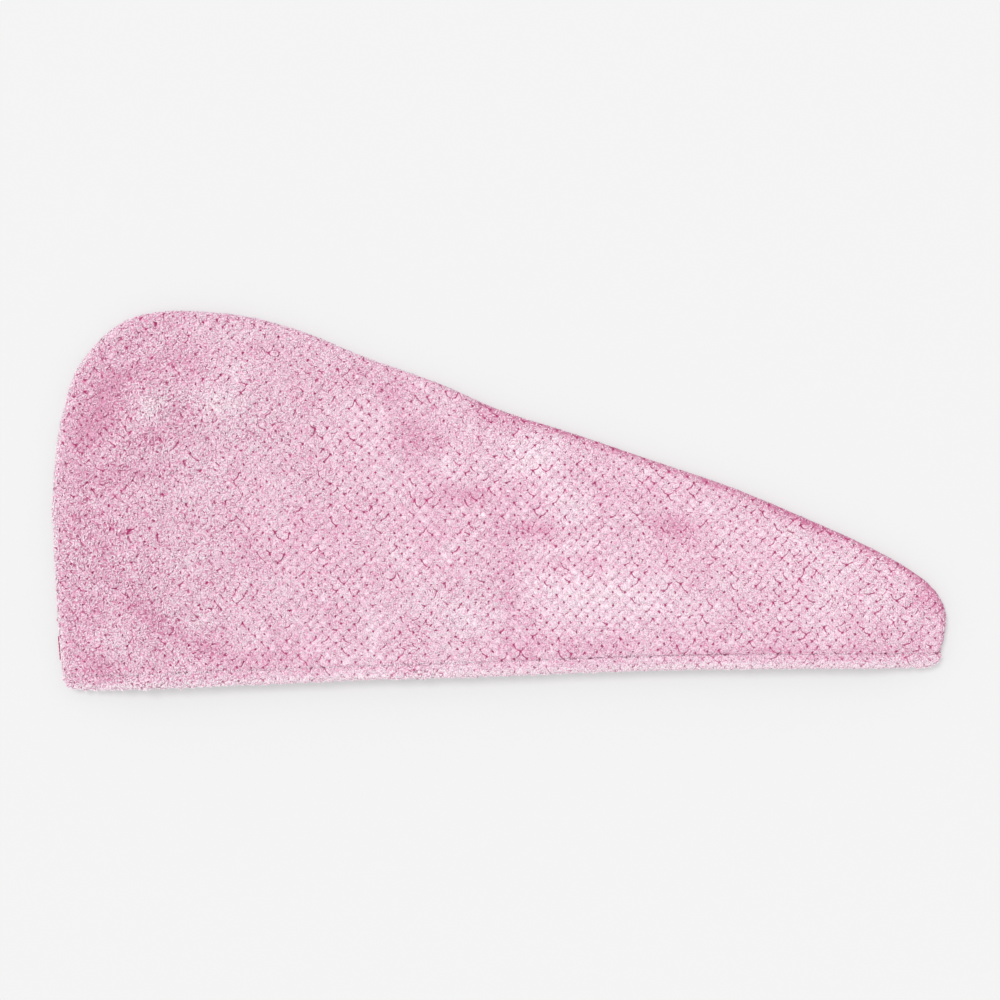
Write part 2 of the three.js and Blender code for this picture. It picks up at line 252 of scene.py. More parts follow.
def read_face(node, from_above):
    """The height of a node's upper or lower face, on the grid."""
    mesh = welded(node)
    tree = BVHTree.FromBMesh(mesh)
    mesh.free()
    start, way = (1.0, Vector((0, 0, -1))) if from_above else (-1.0, Vector((0, 0, 1)))
    all_x, all_y = (a.ravel() for a in np.meshgrid(grid_x, grid_y, indexing="ij"))
    known = (from_sewn_edge(all_x, all_y) > EDGE_ROLL) & (all_y > mouth_y(all_x) + HEM_KEEP_OFF)
    heights = np.zeros(len(all_x))
    for n in np.flatnonzero(known):
        hit = tree.ray_cast(Vector((all_x[n], all_y[n], start)), way)[0]
        known[n] = hit is not None
        heights[n] = hit.z if hit else 0
    shape = (len(grid_x), len(grid_y))
    known, heights = known.reshape(shape).astype(float), heights.reshape(shape)
    near, near_sum = blurred(known, BLUR), blurred(known * heights, BLUR)
    far, far_sum = blurred(known, WIDE_BLUR), blurred(known * heights, WIDE_BLUR)
    return (near_sum + 1e-4 * far_sum) / (near + 1e-4 * far + 1e-12)


def between(grid, across, up, eased=False):
    """Values between a grid's points, where across and up count the grid's own steps."""
    i = np.clip(across.astype(int), 0, grid.shape[0] - 2)
    k = np.clip(up.astype(int), 0, grid.shape[1] - 2)
    p, q = across - i, up - k
    if eased:
        p, q = smooth_step(p, 0, 1), smooth_step(q, 0, 1)
    low = grid[i, k] * (1 - p) + grid[i + 1, k] * p
    high = grid[i, k + 1] * (1 - p) + grid[i + 1, k + 1] * p
    return low * (1 - q) + high * q


def read_at(heights, x, y):
    return between(heights, (x - grid_x[0]) / GRID, (y - grid_y[0]) / GRID)


upper_outside = read_face("upper_panel", from_above=True)
upper_inside = read_face("upper_panel", from_above=False)
lower_outside = read_face("lower_panel", from_above=False)
lower_inside = read_face("lower_panel", from_above=True)
print("upper face", round(upper_outside.min() / MM, 1), "to", round(upper_outside.max() / MM, 1), "mm high")

# %% [markdown]
# ## The knit
# The cloth is knitted so that its pile stands in small cushions between two families of slanting lines.
# Where two lines cross, the ground shows as a dark dot, in the ground's colour with painted shade over it.
# The cloth's own flat coordinates, in repeats of the knit, drift a little over the towel, because cloth is
# never laid down quite straight. The same coordinates make the cushions here and are kept as the piece's
# UV map, so that the colours of the dots fall where the hollows are.


# %% Cloth coordinates, their drift and the cushions between the lines
def value_noise(x, y, cell, seed):
    """Smooth noise from -1 to 1 whose hills are about one cell across."""
    random = np.random.default_rng(seed)
    columns = int((LENGTH + 2 * GRID_MARGIN) / cell) + 4
    rows = int((WIDTH + 2 * GRID_MARGIN) / cell) + 4
    knots = random.uniform(-1, 1, (columns, rows))
    across = (x - cad_low[0] + GRID_MARGIN) / cell + 1
    up = (y - cad_low[1] + GRID_MARGIN) / cell + 1
    return between(knots, across, up, eased=True)


# Each drift is how far the knit wanders, how much further where it is ruffled, and over what distance.
DRIFTS = [
    (3.0 * MM, 0, 90 * MM),
    (1.4 * MM, 1.5 * MM, 34 * MM),
    (0.8 * MM, 2.6 * MM, 13 * MM),
    (0.4 * MM, 1.5 * MM, 6 * MM),
]
LINE_SAG = 0.15


def knit_place(x, y, seed):
    """The cloth's own coordinates, in repeats of the knit. Each line sags a little between crossings."""
    along, across = x.copy(), y.copy()
    ruffled = 1 - knit_order(x, y)
    for n, (reach, more, cell) in enumerate(DRIFTS):
        along += (reach + more * ruffled) * value_noise(x, y, cell, seed + 10 * n)
        across += (reach + more * ruffled) * value_noise(x, y, cell, seed + 10 * n + 5)
    u, v = along / KNIT_ALONG, across / KNIT_ACROSS
    sag_one = LINE_SAG * np.sin(math.pi * (u - v)) ** 2
    sag_other = LINE_SAG * np.sin(math.pi * (u + v)) ** 2
    return u + (sag_one - sag_other) / 2, v + (sag_one + sag_other) / 2


def knit_puff(u, v):
    """1 in the middle of each cushion and 0 on the lines between them."""
    return np.sqrt(np.abs(np.sin(math.pi * (u + v)) * np.sin(math.pi * (u - v))))


PLAIN_ORDER = 0.8
ORDER_SPREAD = 0.3
ORDER_CELL = 40 * MM
# Patches where the pile has been ruffled and hides the knit, as shares of the length and width.
RUFFLED = [
    {"place": "crown", "along": 0.12, "across": 0.72, "reach": 0.13, "share": 0.85},
    {"place": "back", "along": 0.05, "across": 0.35, "reach": 0.11, "share": 0.8},
    {"place": "corner", "along": 0.1, "across": 0.08, "reach": 0.12, "share": 0.7},
]


def knit_order(x, y):
    """How plainly the knit shows: 1 where it is crisp and near 0 where the pile is ruffled."""
    order = PLAIN_ORDER + ORDER_SPREAD * value_noise(x, y, ORDER_CELL, 71)
    for patch in RUFFLED:
        dx = x - (cad_low[0] + patch["along"] * LENGTH)
        dy = y - (cad_low[1] + patch["across"] * WIDTH)
        order = order * (1 - patch["share"] * np.exp(-(dx**2 + dy**2) / (patch["reach"] * LENGTH) ** 2))
    return np.clip(order, 0, 1)


# %% Which lines of the knit gape
CRISP_OPEN = 0.13
RUFFLED_OPEN = 0.14
TAIL_OPEN = 0.16
TAIL_FROM = (90 * MM, 230 * MM)
RIM_OPEN = 0.2
RIM_OPEN_REACH = 9 * MM
GAP_TABLE = 150
GAP_SHORTEST = 0.25
GAP_SPREAD = 0.9
GAP_FULL = 0.55


def open_gap(across_line, along_line, seed, share_open):
    """How far open a line of the knit is. Each stretch between two crossings gapes over its own share."""
    chance = np.random.default_rng(seed).random((3, GAP_TABLE, GAP_TABLE))
    line = np.round(across_line).astype(int) % GAP_TABLE
    stretch = np.floor(along_line).astype(int) % GAP_TABLE
    run = along_line % 1
    run = np.where(chance[1][line, stretch] < 0.5, run, 1 - run)
    reach = GAP_SHORTEST + GAP_SPREAD * chance[2][line, stretch]
    return (chance[0][line, stretch] < share_open) * (1 - smooth_step(run, GAP_FULL * reach, reach))


def gape_of(x, y, seed, reach):
    """1 beside a line that gapes and 0 beside a closed one. reach is how far to the side it is felt."""
    u, v = knit_place(x, y, seed)
    order = knit_order(x, y)
    share_open = RUFFLED_OPEN + (CRISP_OPEN - RUFFLED_OPEN) * order + TAIL_OPEN * smooth_step(x, *TAIL_FROM)
    share_open = share_open + RIM_OPEN * (1 - smooth_step(from_sewn_edge(x, y), 0, RIM_OPEN_REACH))
    gape = np.zeros(len(x))
    for across, along, own_seed in ((u + v, u - v, seed + 301), (u - v, u + v, seed + 302)):
        near = np.abs(np.sin(math.pi * across)) < reach
        gape = np.maximum(gape, near * open_gap(across, along, own_seed, share_open))
    return gape


# %% [markdown]
# ## Curls and specks
# Where the pile is ruffled its locks curl, and thin winding cracks open between them. Thin tufts in a deep
# crimson lie along their bottoms as painted shade. The lines where a smooth noise passes through nought
# wind in the same way. On the edge that turns down along the slope the pile splays, and its dark ground
# shows as fine specks.

# %% Winding cracks and specks at the edge
CURL_CELL = 2.7 * MM
CURL_GATE = 8 * MM
CURL_STEP = 0.1 * MM
CRISP_CURL = 0.05
RUFFLED_CURL = 0.16
DEEP_CRACK = 0.5
SPECK_CELL = 1.9 * MM
SPECK_RARE = 0.85
RIM_DARK_WAY = (0.45, 0.89)
RIM_DARK_REACH = 8 * MM
RIM_DARK_FROM = (-110 * MM, 40 * MM)


def curl_field(x, y, seed):
    return value_noise(x, y, CURL_CELL, seed + 501) + 0.5 * value_noise(x, y, 0.55 * CURL_CELL, seed + 502)


def curl_way(x, y, seed):
    """The curl field, and the unit direction in which it rises."""
    here = curl_field(x, y, seed)
    rise = np.column_stack([
        curl_field(x + CURL_STEP, y, seed) - here,
        curl_field(x, y + CURL_STEP, seed) - here,
    ])
    return here, rise / (np.linalg.norm(rise, axis=1)[:, None] + 1e-9)


def splayed_share(x, y):
    """From 0 where the pile stands close to 1 where it is ruffled, stroked flat or painted in shade, and its
    ground shows.
    """
    return np.clip(1 - knit_order(x, y) - 0.5 * nap_and_painted_light(x, y), 0, 1)


def in_curl_crack(x, y, seed):
    """From 1 in the middle of a crack to 0 at its sides and beyond."""
    splayed = splayed_share(x, y)
    width = CRISP_CURL + (RUFFLED_CURL - CRISP_CURL) * splayed
    gate = value_noise(x, y, CURL_GATE, seed + 503) > 0.1 - 0.8 * splayed
    return gate * np.clip(1 - np.abs(curl_field(x, y, seed)) / width, 0, 1)


def dark_rim(x, y):
    """1 on the edge that turns down along the slope and round the tip, fading to 0 inwards."""
    inset, index = nearest_on_edge(x, y)
    facing = np.clip(-sewn_inward[index] @ np.array(RIM_DARK_WAY), 0, 1)
    return facing * smooth_step(x, *RIM_DARK_FROM) * (1 - smooth_step(inset, 0, RIM_DARK_REACH))


# %% [markdown]
# ## How the nap was stroked, with painted light and shade
# Pile that leans towards the light is paler than pile that leans away. Handling has left soft patches of
# both, and the same patches carry painted shade and painted light: deeper pink as painted shade in the
# folds behind the crown, across the middle and along the slope, and pale places as painted light where the
# cloth stands proud. Each patch is a soft ellipse, in shares of the towel's length and width.

# %% Table of the nap's patches, with painted light and shade
# Columns: place, along, across, half length, half width, turn in degrees, and shade from -1 deep to 1 pale
NAP_AND_SHADE_PATCHES = [
    ("crown hollow", 0.060, 0.758, 0.047, 0.018, 62, -1.0),
    ("crown hollow", 0.042, 0.690, 0.029, 0.016, 80, -0.5),
    ("crown top", 0.107, 0.852, 0.034, 0.011, 20, -0.35),
    ("crown fold", 0.142, 0.734, 0.018, 0.011, 0, -0.7),
    ("crown fold", 0.107, 0.658, 0.025, 0.010, 20, -0.6),
    ("back", 0.049, 0.550, 0.018, 0.013, 0, -0.5),
    ("back", 0.032, 0.455, 0.013, 0.013, 0, -0.4),
    ("back fold", 0.089, 0.574, 0.045, 0.010, 0, -0.5),
    ("corner fold", 0.107, 0.195, 0.029, 0.009, -45, -0.9),
    ("corner fold", 0.163, 0.119, 0.038, 0.009, -25, -0.8),
    ("corner fold", 0.232, 0.087, 0.038, 0.009, 0, -0.6),
    ("corner", 0.053, 0.071, 0.020, 0.009, 0, -0.5),
    ("back side", 0.058, 0.355, 0.009, 0.031, 0, -0.5),
    ("upright fold", 0.510, 0.290, 0.008, 0.060, 0, -0.5),
    ("slope hollow", 0.408, 0.660, 0.024, 0.024, 20, -0.85),
    ("slope hollow", 0.374, 0.776, 0.018, 0.013, 0, -0.5),
    ("slope fold", 0.496, 0.708, 0.029, 0.010, -15, -0.7),
    ("cross fold", 0.453, 0.508, 0.047, 0.010, 0, -0.7),
    ("cross hollow", 0.531, 0.424, 0.027, 0.011, 0, -0.9),
    ("tail hollow", 0.614, 0.524, 0.014, 0.011, -10, -0.5),
    ("tail hollow", 0.692, 0.432, 0.028, 0.014, -10, -1.1),
    ("tail edge", 0.830, 0.458, 0.050, 0.008, -27, -0.7),
    ("tip", 0.982, 0.255, 0.013, 0.018, 0, -0.7),
    ("hem fold", 0.585, 0.116, 0.074, 0.008, 0, -0.4),
    ("hem fold", 0.799, 0.106, 0.108, 0.007, 0, -0.5),
    ("crown light", 0.188, 0.752, 0.025, 0.016, 0, 0.8),
    ("crown light", 0.110, 0.750, 0.016, 0.013, 30, 0.8),
    ("brow light", 0.203, 0.842, 0.020, 0.011, 0, 0.6),
    ("brow light", 0.210, 0.934, 0.034, 0.009, 0, 0.5),
    ("slope light", 0.535, 0.608, 0.029, 0.022, -40, 1.0),
    ("slope light", 0.575, 0.474, 0.020, 0.018, 0, 0.8),
    ("slope hollow", 0.600, 0.336, 0.020, 0.014, 0, -0.45),
    ("lower light", 0.624, 0.237, 0.067, 0.027, 0, 0.7),
    ("tail light", 0.850, 0.345, 0.049, 0.018, -18, 0.35),
    ("corner light", 0.064, 0.142, 0.027, 0.020, 0, 0.4),
    ("middle hollow", 0.275, 0.342, 0.078, 0.045, 20, -0.12),
    ("slope light", 0.432, 0.605, 0.018, 0.013, 0, 0.5),
    ("tail hollow", 0.735, 0.372, 0.050, 0.022, -15, -0.1),
    ("whole back", 0.020, 0.560, 0.060, 0.130, 0, -0.3),
    ("whole crown", 0.130, 0.850, 0.080, 0.032, 15, -0.3),
    ("tail light", 0.833, 0.395, 0.030, 0.010, -27, 0.45),
    ("tail light", 0.932, 0.240, 0.018, 0.020, -30, 0.45),
    ("hem fold", 0.540, 0.125, 0.016, 0.012, 0, -0.4),
    ("slanting fold", 0.427, 0.590, 0.007, 0.050, -15, -0.35),
    ("corner", 0.062, 0.040, 0.018, 0.010, 0, -0.5),
    ("crown top", 0.090, 0.930, 0.035, 0.016, 30, -0.35),
    ("brow fold", 0.252, 0.850, 0.012, 0.010, 0, -0.4),
    ("slope light", 0.560, 0.372, 0.035, 0.008, 5, 0.35),
    ("back light", 0.190, 0.250, 0.050, 0.028, -20, 0.3),
    ("middle light", 0.445, 0.200, 0.050, 0.040, 0, 0.4),
    ("corner", 0.040, 0.110, 0.030, 0.050, 0, -0.45),
    ("whole tail", 0.830, 0.280, 0.130, 0.050, -12, 0.18),
]
NAP_MOTTLE = 0.18
WIDE_MOTTLE, FINE_MOTTLE = 22 * MM, 9 * MM
SHADE_MOST = 1.2
PALE_SIDE_GAIN = 0.9
DEEP_SIDE_GAIN = 0.6
HEM_WIDTH = 10.3 * MM
# Painted highlight along the hem's folded lower edge.
HEM_HIGHLIGHT = 1.25
HEM_HIGHLIGHT_REACH = 6.5 * MM
# Painted shade on the edge that turns down along the slope.
RIM_SHADE = 0.27
# Painted sheen along the edge behind the head.
RIM_SHEEN = 1.3
RIM_SHEEN_REACH = 5 * MM


def nap_and_painted_light(x, y):
    """From about -1, deep pink, to 1, pale: the nap's mottle and patches, with painted shade and light."""
    shade = NAP_MOTTLE * (value_noise(x, y, WIDE_MOTTLE, 401) + value_noise(x, y, FINE_MOTTLE, 402))
    # Painted highlight where light catches the hem's fold.
    from_fold = y - mouth_y(x) + HEM_WIDTH
    shade += HEM_HIGHLIGHT * (1 - smooth_step(from_fold, 0, HEM_HIGHLIGHT_REACH))
    # Painted sheen: a pale band where the edge behind the head catches the light.
    inset, index = nearest_on_edge(x, y)
    facing_back = np.clip(sewn_inward[index][:, 0], 0, 1)
    shade += RIM_SHEEN * facing_back * (1 - smooth_step(inset, 0, RIM_SHEEN_REACH))
    # Painted shade on the edge that turns down along the slope and round the tip.
    shade -= RIM_SHADE * dark_rim(x, y)
    for place, along, across, long, wide, turn, strength in NAP_AND_SHADE_PATCHES:
        angle = math.radians(turn)
        dx, dy = x - cad_low[0] - along * LENGTH, y - cad_low[1] - across * WIDTH
        run = (dx * math.cos(angle) + dy * math.sin(angle)) / (long * LENGTH)
        side = (dy * math.cos(angle) - dx * math.sin(angle)) / (wide * LENGTH)
        shade = shade + strength * np.exp(-(run**2) - side**2)
    return np.clip(shade, -SHADE_MOST, SHADE_MOST)


def pile_tone(x, y):
    """The mean tone of the pile, with its painted light and shade: 0.5 is the cloth's own colour. Deep
    places keep some pale tips.
    """
    shade = nap_and_painted_light(x, y)
    return 0.5 + np.where(shade > 0, PALE_SIDE_GAIN, DEEP_SIDE_GAIN) * shade


# %% [markdown]
# ## A panel of cloth
# Each panel is one closed piece: an outer face that carries the knit, an inner face that nobody sees but
# that the mouth's edge leads to, and the rolled rim where the two meet at the seam. The outer face is
# built on the plan of the towel. Points are laid in even triangles inside the outline, with closer rows
# that follow the rim, and a constrained triangulation joins them all. Then each point is lifted to its
# height: the model's own height, rounded off towards the rim, plus the cushions of the knit.


# %% Lay out the plan of a panel
def plan_outline():
    """The panel's border, anticlockwise from the nape: the open side, then back along the sewn edge."""
    start, end = sewn_line[0][0], sewn_line[-1][0]
    x = np.linspace(start, end, int((end - start) / EDGE_STEP) + 1)[1:-1]
    return np.vstack([sewn_line[0], np.column_stack([x, mouth_y(x)]), sewn_line[::-1]])[:-1], len(x)


def even_points(step):
    """Points in rows of even triangles over the whole plan."""
    rise = step * math.sqrt(3) / 2
    rows = np.arange(cad_low[1], cad_high[1], rise)
    columns = np.arange(cad_low[0], cad_high[0], step)
    x, y = np.meshgrid(columns, rows, indexing="ij")
    x = x + (np.arange(len(rows)) % 2) * step / 2
    return np.column_stack([x.ravel(), y.ravel()])


def plan_mesh(step, rim_insets, clear_of_rim):
    """Points and triangles that fill the outline, with extra rows near the rim, and the mouth's points."""
    outline, open_points = plan_outline()
    inside = even_points(step)
    inset = from_sewn_edge(inside[:, 0], inside[:, 1])
    above_mouth = inside[:, 1] - mouth_y(inside[:, 0])
    low_x, high_x = sewn_line[:, 0].min(), sewn_line[:, 0].max()
    in_towel = (above_mouth > 0.6 * step) & is_inside(inside, outline) & (inset > clear_of_rim)
    rows = [inside[in_towel]]
    for rim in rim_insets:
        row = sewn_line + rim * sewn_inward
        on_cloth = row[:, 1] - mouth_y(row[:, 0]) > 0.4 * MM
        rows.append(row[on_cloth & (row[:, 0] > low_x) & (row[:, 0] < high_x)])
    points = np.vstack([outline, *rows])
    border = list(range(len(outline)))
    found = delaunay_2d_cdt([tuple(p) for p in points.tolist()], [], [border], 1, 1e-7)
    source = [given[0] for given in found[3]]
    place_of = {given: n for n, all_given in enumerate(found[3]) for given in all_given}
    mouth = [place_of[n] for n in range(open_points + 2)]
    return points[source], np.array(found[2]), mouth


def is_inside(points, outline):
    """Which points lie inside a closed outline, by counting the sides that they pass under."""
    x, y = points[:, 0], points[:, 1]
    inside = np.zeros(len(points), bool)
    for (ax, ay), (bx, by) in zip(outline, np.roll(outline, -1, axis=0)):
        spans = (ax > x) != (bx > x)
        inside ^= spans & (y < (by - ay) * (x - ax) / (bx - ax + 1e-15) + ay)
    return inside


# %% Heights of the four faces of the two panels
PUFF_LEVEL = 0.55
GROOVE_DEPTH = 0.75 * MM
GROOVE_REACH = 4.5 * MM
GROOVE_FAINT = 0.15
GROOVE_FROM = (-60 * MM, 60 * MM)
RIM_PUFF_FADE = 4 * MM
RUFFLE_HEIGHT = 0.9 * MM
RUFFLE_CELL = 4.2 * MM
ON_EDGE = 0.01 * MM


def rounded(height, seam, inset, reach):
    """A face's height, turned down in a quarter circle towards the seam over the last stretch."""
    share = np.clip(inset / reach, 0, 1)
    return seam + (height - seam) * np.sqrt(1 - (1 - share) ** 2)


def cloth_relief(x, y, inset, seed):
    """How far the pile stands above or below the cloth's middle height."""
    u, v = knit_place(x, y, seed)
    order = knit_order(x, y)
    cushions = PUFF_HEIGHT * (knit_puff(u, v) - PUFF_LEVEL) * (0.25 + 0.75 * order)
    ruffles = RUFFLE_HEIGHT * (1.15 - order) * value_noise(x, y, RUFFLE_CELL, seed + 91)
    return (cushions + ruffles) * (0.25 + 0.75 * smooth_step(inset, 0, RIM_PUFF_FADE))


def groove_share(x):
    """How plainly the hem's groove shows: faint under the head opening, full along the tail."""
    return GROOVE_FAINT + (1 - GROOVE_FAINT) * smooth_step(x, *GROOVE_FROM)


def upper_outer_height(x, y, inset):
    above_mouth = y - mouth_y(x)
    smooth_face = rounded(read_at(upper_outside, x, y), UPPER_SEAM, inset, EDGE_ROLL)
    groove = GROOVE_DEPTH * groove_share(x) * (1 - smooth_step(above_mouth, 0, GROOVE_REACH))
    groove = groove * smooth_step(inset, 0, 3 * EDGE_ROLL)
    relief = cloth_relief(x, y, inset, UPPER_SEED) * (0.2 + 0.8 * smooth_step(above_mouth, 0, GROOVE_REACH))
    raised = relief - PILE_SINK * smooth_step(inset, 0, EDGE_ROLL)
    return smooth_face - groove + np.where(inset < ON_EDGE, 0, raised)


def upper_inner_height(x, y, inset):
    return rounded(read_at(upper_inside, x, y), UPPER_SEAM, inset - CLOTH, EDGE_ROLL - CLOTH)


def lower_outer_height(x, y, inset):
    smooth_face = rounded(read_at(lower_outside, x, y), LOWER_SEAM, inset, EDGE_ROLL)
    relief = cloth_relief(x, y, inset, LOWER_SEED)
    return smooth_face + np.where(inset < ON_EDGE, 0, np.maximum(relief + 0.3 * MM, 0))


def lower_inner_height(x, y, inset):
    return rounded(read_at(lower_inside, x, y), LOWER_SEAM, inset - CLOTH, EDGE_ROLL - CLOTH)


# %% [markdown]
# ## From plan to closed cloth
# The outer and the inner face share the plan's border. Along the sewn edge they meet at the seam, so their
# points fall together there and are merged. Along the mouth the cloth has its cut thickness, and a strip of
# faces joins the two. Normals are turned outwards, and each corner keeps its place in the knit as its UV.


# %% Build one panel
RIM_ANGLES = (15, 30, 45, 60, 75)
INNER_RIM = (CLOTH, CLOTH + 0.3 * MM, EDGE_ROLL)


def link_object(name, mesh):
    piece = bpy.data.objects.new(name, mesh)
    bpy.context.scene.collection.objects.link(piece)
    return piece


def panel_object(name, step, heights, seed):
    """One panel, from the heights of its outer and its inner face."""
    rim = [EDGE_ROLL * (1 - math.cos(math.radians(angle))) for angle in RIM_ANGLES]
    outer_plan, outer_faces, outer_mouth = plan_mesh(step, rim, 0.85 * EDGE_ROLL)
    inner_plan, inner_faces, inner_mouth = plan_mesh(LINING_STEP, INNER_RIM, 1.5 * EDGE_ROLL)
    corners = []
    for plan, height in zip((outer_plan, inner_plan), heights):
        inset = from_sewn_edge(plan[:, 0], plan[:, 1])
        corners.append(np.column_stack([plan, height(plan[:, 0], plan[:, 1], inset)]))
    inner_mouth = [n + len(outer_plan) for n in inner_mouth]
    sides = list(zip(outer_mouth, outer_mouth[1:], inner_mouth, inner_mouth[1:]))
    strip = [(b, a, c) for a, b, c, d in sides] + [(b, c, d) for a, b, c, d in sides]
    faces = [*outer_faces.tolist(), *(inner_faces[:, ::-1] + len(outer_plan)).tolist(), *strip]
    mesh = closed_mesh(name, np.vstack(corners), faces, 0.005 * MM, slivers=True)
    keep_knit(mesh, seed)
    return link_object(name, mesh)


def closed_mesh(name, points, faces, merge=0.002 * MM, slivers=False):
    """A mesh with merged doubles and outward normals. slivers says that it has some that must go."""
    mesh = bpy.data.meshes.new(name)
    mesh.from_pydata(points.tolist(), [], faces)
    tidy = bmesh.new()
    tidy.from_mesh(mesh)
    bmesh.ops.remove_doubles(tidy, verts=tidy.verts, dist=merge)
    if slivers:
        bmesh.ops.dissolve_degenerate(tidy, dist=0.001 * MM, edges=tidy.edges)
    bmesh.ops.recalc_face_normals(tidy, faces=tidy.faces)
    if tidy.calc_volume(signed=True) < 0:
        bmesh.ops.reverse_faces(tidy, faces=tidy.faces)
    open_edges = sum(not edge.is_manifold for edge in tidy.edges)
    tidy.to_mesh(mesh)
    tidy.free()
    mesh.polygons.foreach_set("use_smooth", [True] * len(mesh.polygons))
    print(name, len(mesh.polygons), "faces,", open_edges, "open edges")
    return mesh


def mesh_points(mesh):
    points = np.empty(3 * len(mesh.vertices))
    mesh.vertices.foreach_get("co", points)
    return points.reshape(-1, 3)


CLOSED_LINE = 0.10
HEM_PLAINLY = 0.8


def keep_value(mesh, label, values):
    mesh.attributes.new(label, "FLOAT", "POINT").data.foreach_set("value", values.astype(np.float32))


def keep_knit(mesh, seed, plainly=1.0):
    """Keeps each corner's place in the knit as its UV, and for each point what its colour depends on."""
    points = mesh_points(mesh)
    x, y = points[:, 0], points[:, 1]
    corner = np.empty(len(mesh.loops), int)
    mesh.loops.foreach_get("vertex_index", corner)
    place = np.column_stack(knit_place(x, y, seed))[corner].astype(np.float32)
    mesh.uv_layers.new(name="knit").data.foreach_set("uv", place.ravel())
    keep_value(mesh, "gape", plainly * (CLOSED_LINE + (1 - CLOSED_LINE) * gape_of(x, y, seed, 0.8)))
    keep_value(mesh, "plainly", np.full(len(x), plainly))
    # The down-turned edge, for its bare specks and its painted shade.
    keep_value(mesh, "rim", dark_rim(x, y))
    keep_value(mesh, "ruffled", splayed_share(x, y))
    keep_value(mesh, "tone", pile_tone(x, y))
    mesh.update()


upper_heights = (upper_outer_height, upper_inner_height)
lower_heights = (lower_outer_height, lower_inner_height)
upper_cloth = panel_object("upper_pile_cloth", UPPER_STEP, upper_heights, UPPER_SEED)
lower_cloth = panel_object("lower_pile_cloth", LOWER_STEP, lower_heights, LOWER_SEED)

# %% [markdown]
# ## The hems
# Along the mouth each panel's cloth is turned in and stitched down, which makes a soft rounded band. The
# model's hem is a tube of a few flat sides. Its widths and heights are read at each of its stations, and a
# fine tube is lofted through the same sizes, with the knit standing up from it. Both ends are rounded.


# %% Loft the hems
HEM_STEP = 1.4 * MM
HEM_SIDES = 30
HEM_SQUARENESS = 0.8
HEM_END = 3.5 * MM
HEM_BACK = 0.585 * MM


def read_hem(node):
    """The hem's outer and inner edge and its bottom and top, at each of its stations along X."""
    mesh = welded(node)
    rings = {}
    for vertex in mesh.verts:
        rings.setdefault(round(vertex.co.x, 5), []).append(vertex.co.copy())
    mesh.free()
    rows = []
    for x, ring in sorted(rings.items()):
        if len(ring) > 4:
            y, z = [p.y for p in ring], [p.z for p in ring]
            rows.append((x, min(y), max(y), min(z), max(z)))
    return np.array(rows)


def squared(value):
    return np.sign(value) * np.abs(value) ** HEM_SQUARENESS


def tube_faces(rings, sides):
    """Faces of a closed tube whose two end points come after all the rings."""
    ring, side = np.meshgrid(np.arange(rings - 1), np.arange(sides), indexing="ij")
    a = (ring * sides + side).ravel()
    b = (ring * sides + (side + 1) % sides).ravel()
    quads = np.column_stack([a, b, b + sides, a + sides]).tolist()
    start, end = rings * sides, rings * sides + 1
    last = (rings - 1) * sides
    around = [(k, (k + 1) % sides) for k in range(sides)]
    return quads + [(start, j, k) for k, j in around] + [(end, last + k, last + j) for k, j in around]


def hem_object(name, node, seed):
    read = read_hem(node)
    start, end = read[0, 0] - HEM_BACK, read[-1, 0]
    x = np.linspace(start, end, int((end - start) / HEM_STEP))
    outer, inner, bottom, top = (np.interp(x, read[:, 0], read[:, k]) for k in (1, 2, 3, 4))
    to_end = np.minimum(x - x[0], x[-1] - x)
    fullness = np.sqrt(1 - (1 - np.clip((to_end + 0.2 * MM) / HEM_END, 0, 1)) ** 2)
    angle = np.arange(HEM_SIDES) * 2 * math.pi / HEM_SIDES
    half_y, half_z = (inner - outer) / 2 * fullness, (top - bottom) / 2 * fullness
    y = ((outer + inner) / 2)[:, None] + half_y[:, None] * squared(np.cos(angle))
    z = ((bottom + top) / 2)[:, None] + half_z[:, None] * squared(np.sin(angle))
    wide_x = np.repeat(x[:, None], HEM_SIDES, axis=1)
    away_y, away_z = squared(np.cos(angle)), squared(np.sin(angle))
    relief = cloth_relief(wide_x.ravel(), y.ravel(), np.full(y.size, RIM_PUFF_FADE), seed).reshape(y.shape)
    relief = relief * fullness[:, None] - 0.1 * MM
    z = np.maximum(z + relief * away_z, min(cad_low[2], bottom.min()))
    y = y + relief * np.where(away_y > 0, 0.1, 0.7) * away_y
    ends = [(x[k], (outer + inner)[k] / 2, (bottom + top)[k] / 2) for k in (0, -1)]
    points = np.vstack([np.column_stack([wide_x.ravel(), y.ravel(), z.ravel()]), ends])
    mesh = closed_mesh(name, points, tube_faces(len(x), HEM_SIDES))
    keep_knit(mesh, seed, HEM_PLAINLY)
    return link_object(name, mesh)


upper_hem = hem_object("upper_hem_cloth", "upper_hem", UPPER_SEED)
lower_hem = hem_object("lower_hem_cloth", "lower_hem", LOWER_SEED)

# %% [markdown]
# ## The seam
# Inside the sewn edge the two panels' allowances are overlocked together into one soft ridge. It keeps the
# model's section, with rounded corners and the slanting threads of the overlock standing up from it. A
# fine cord of seam thread runs round in the narrow gap at the very edge and wavers from stitch to stitch.
# It lies deep in the pile, apart from two short stretches by the nape, where it is drawn out and shows.

# %% Overlocked ridge and the line of seam thread
SEAM_SIDES = 18
RIDGE_WIDTH = 7 * MM
RIDGE_START = 3
OVERLOCK_PITCH = 2.6 * MM
OVERLOCK_HEIGHT = 0.12 * MM
OVERLOCK_SLANT = 2.5 * MM
LEVEL_POINT = 400
THREAD_RADIUS = 0.5 * MM
STITCH_LENGTH = 2.8 * MM
THREAD_SIDES = 7
THREAD_SHOWN = ((11 * MM, 29 * MM), (40 * MM, 42 * MM))
THREAD_FADE = 1.5 * MM
THREAD_DEEP = 1.3 * MM
THREAD_OUT = 0.8 * MM


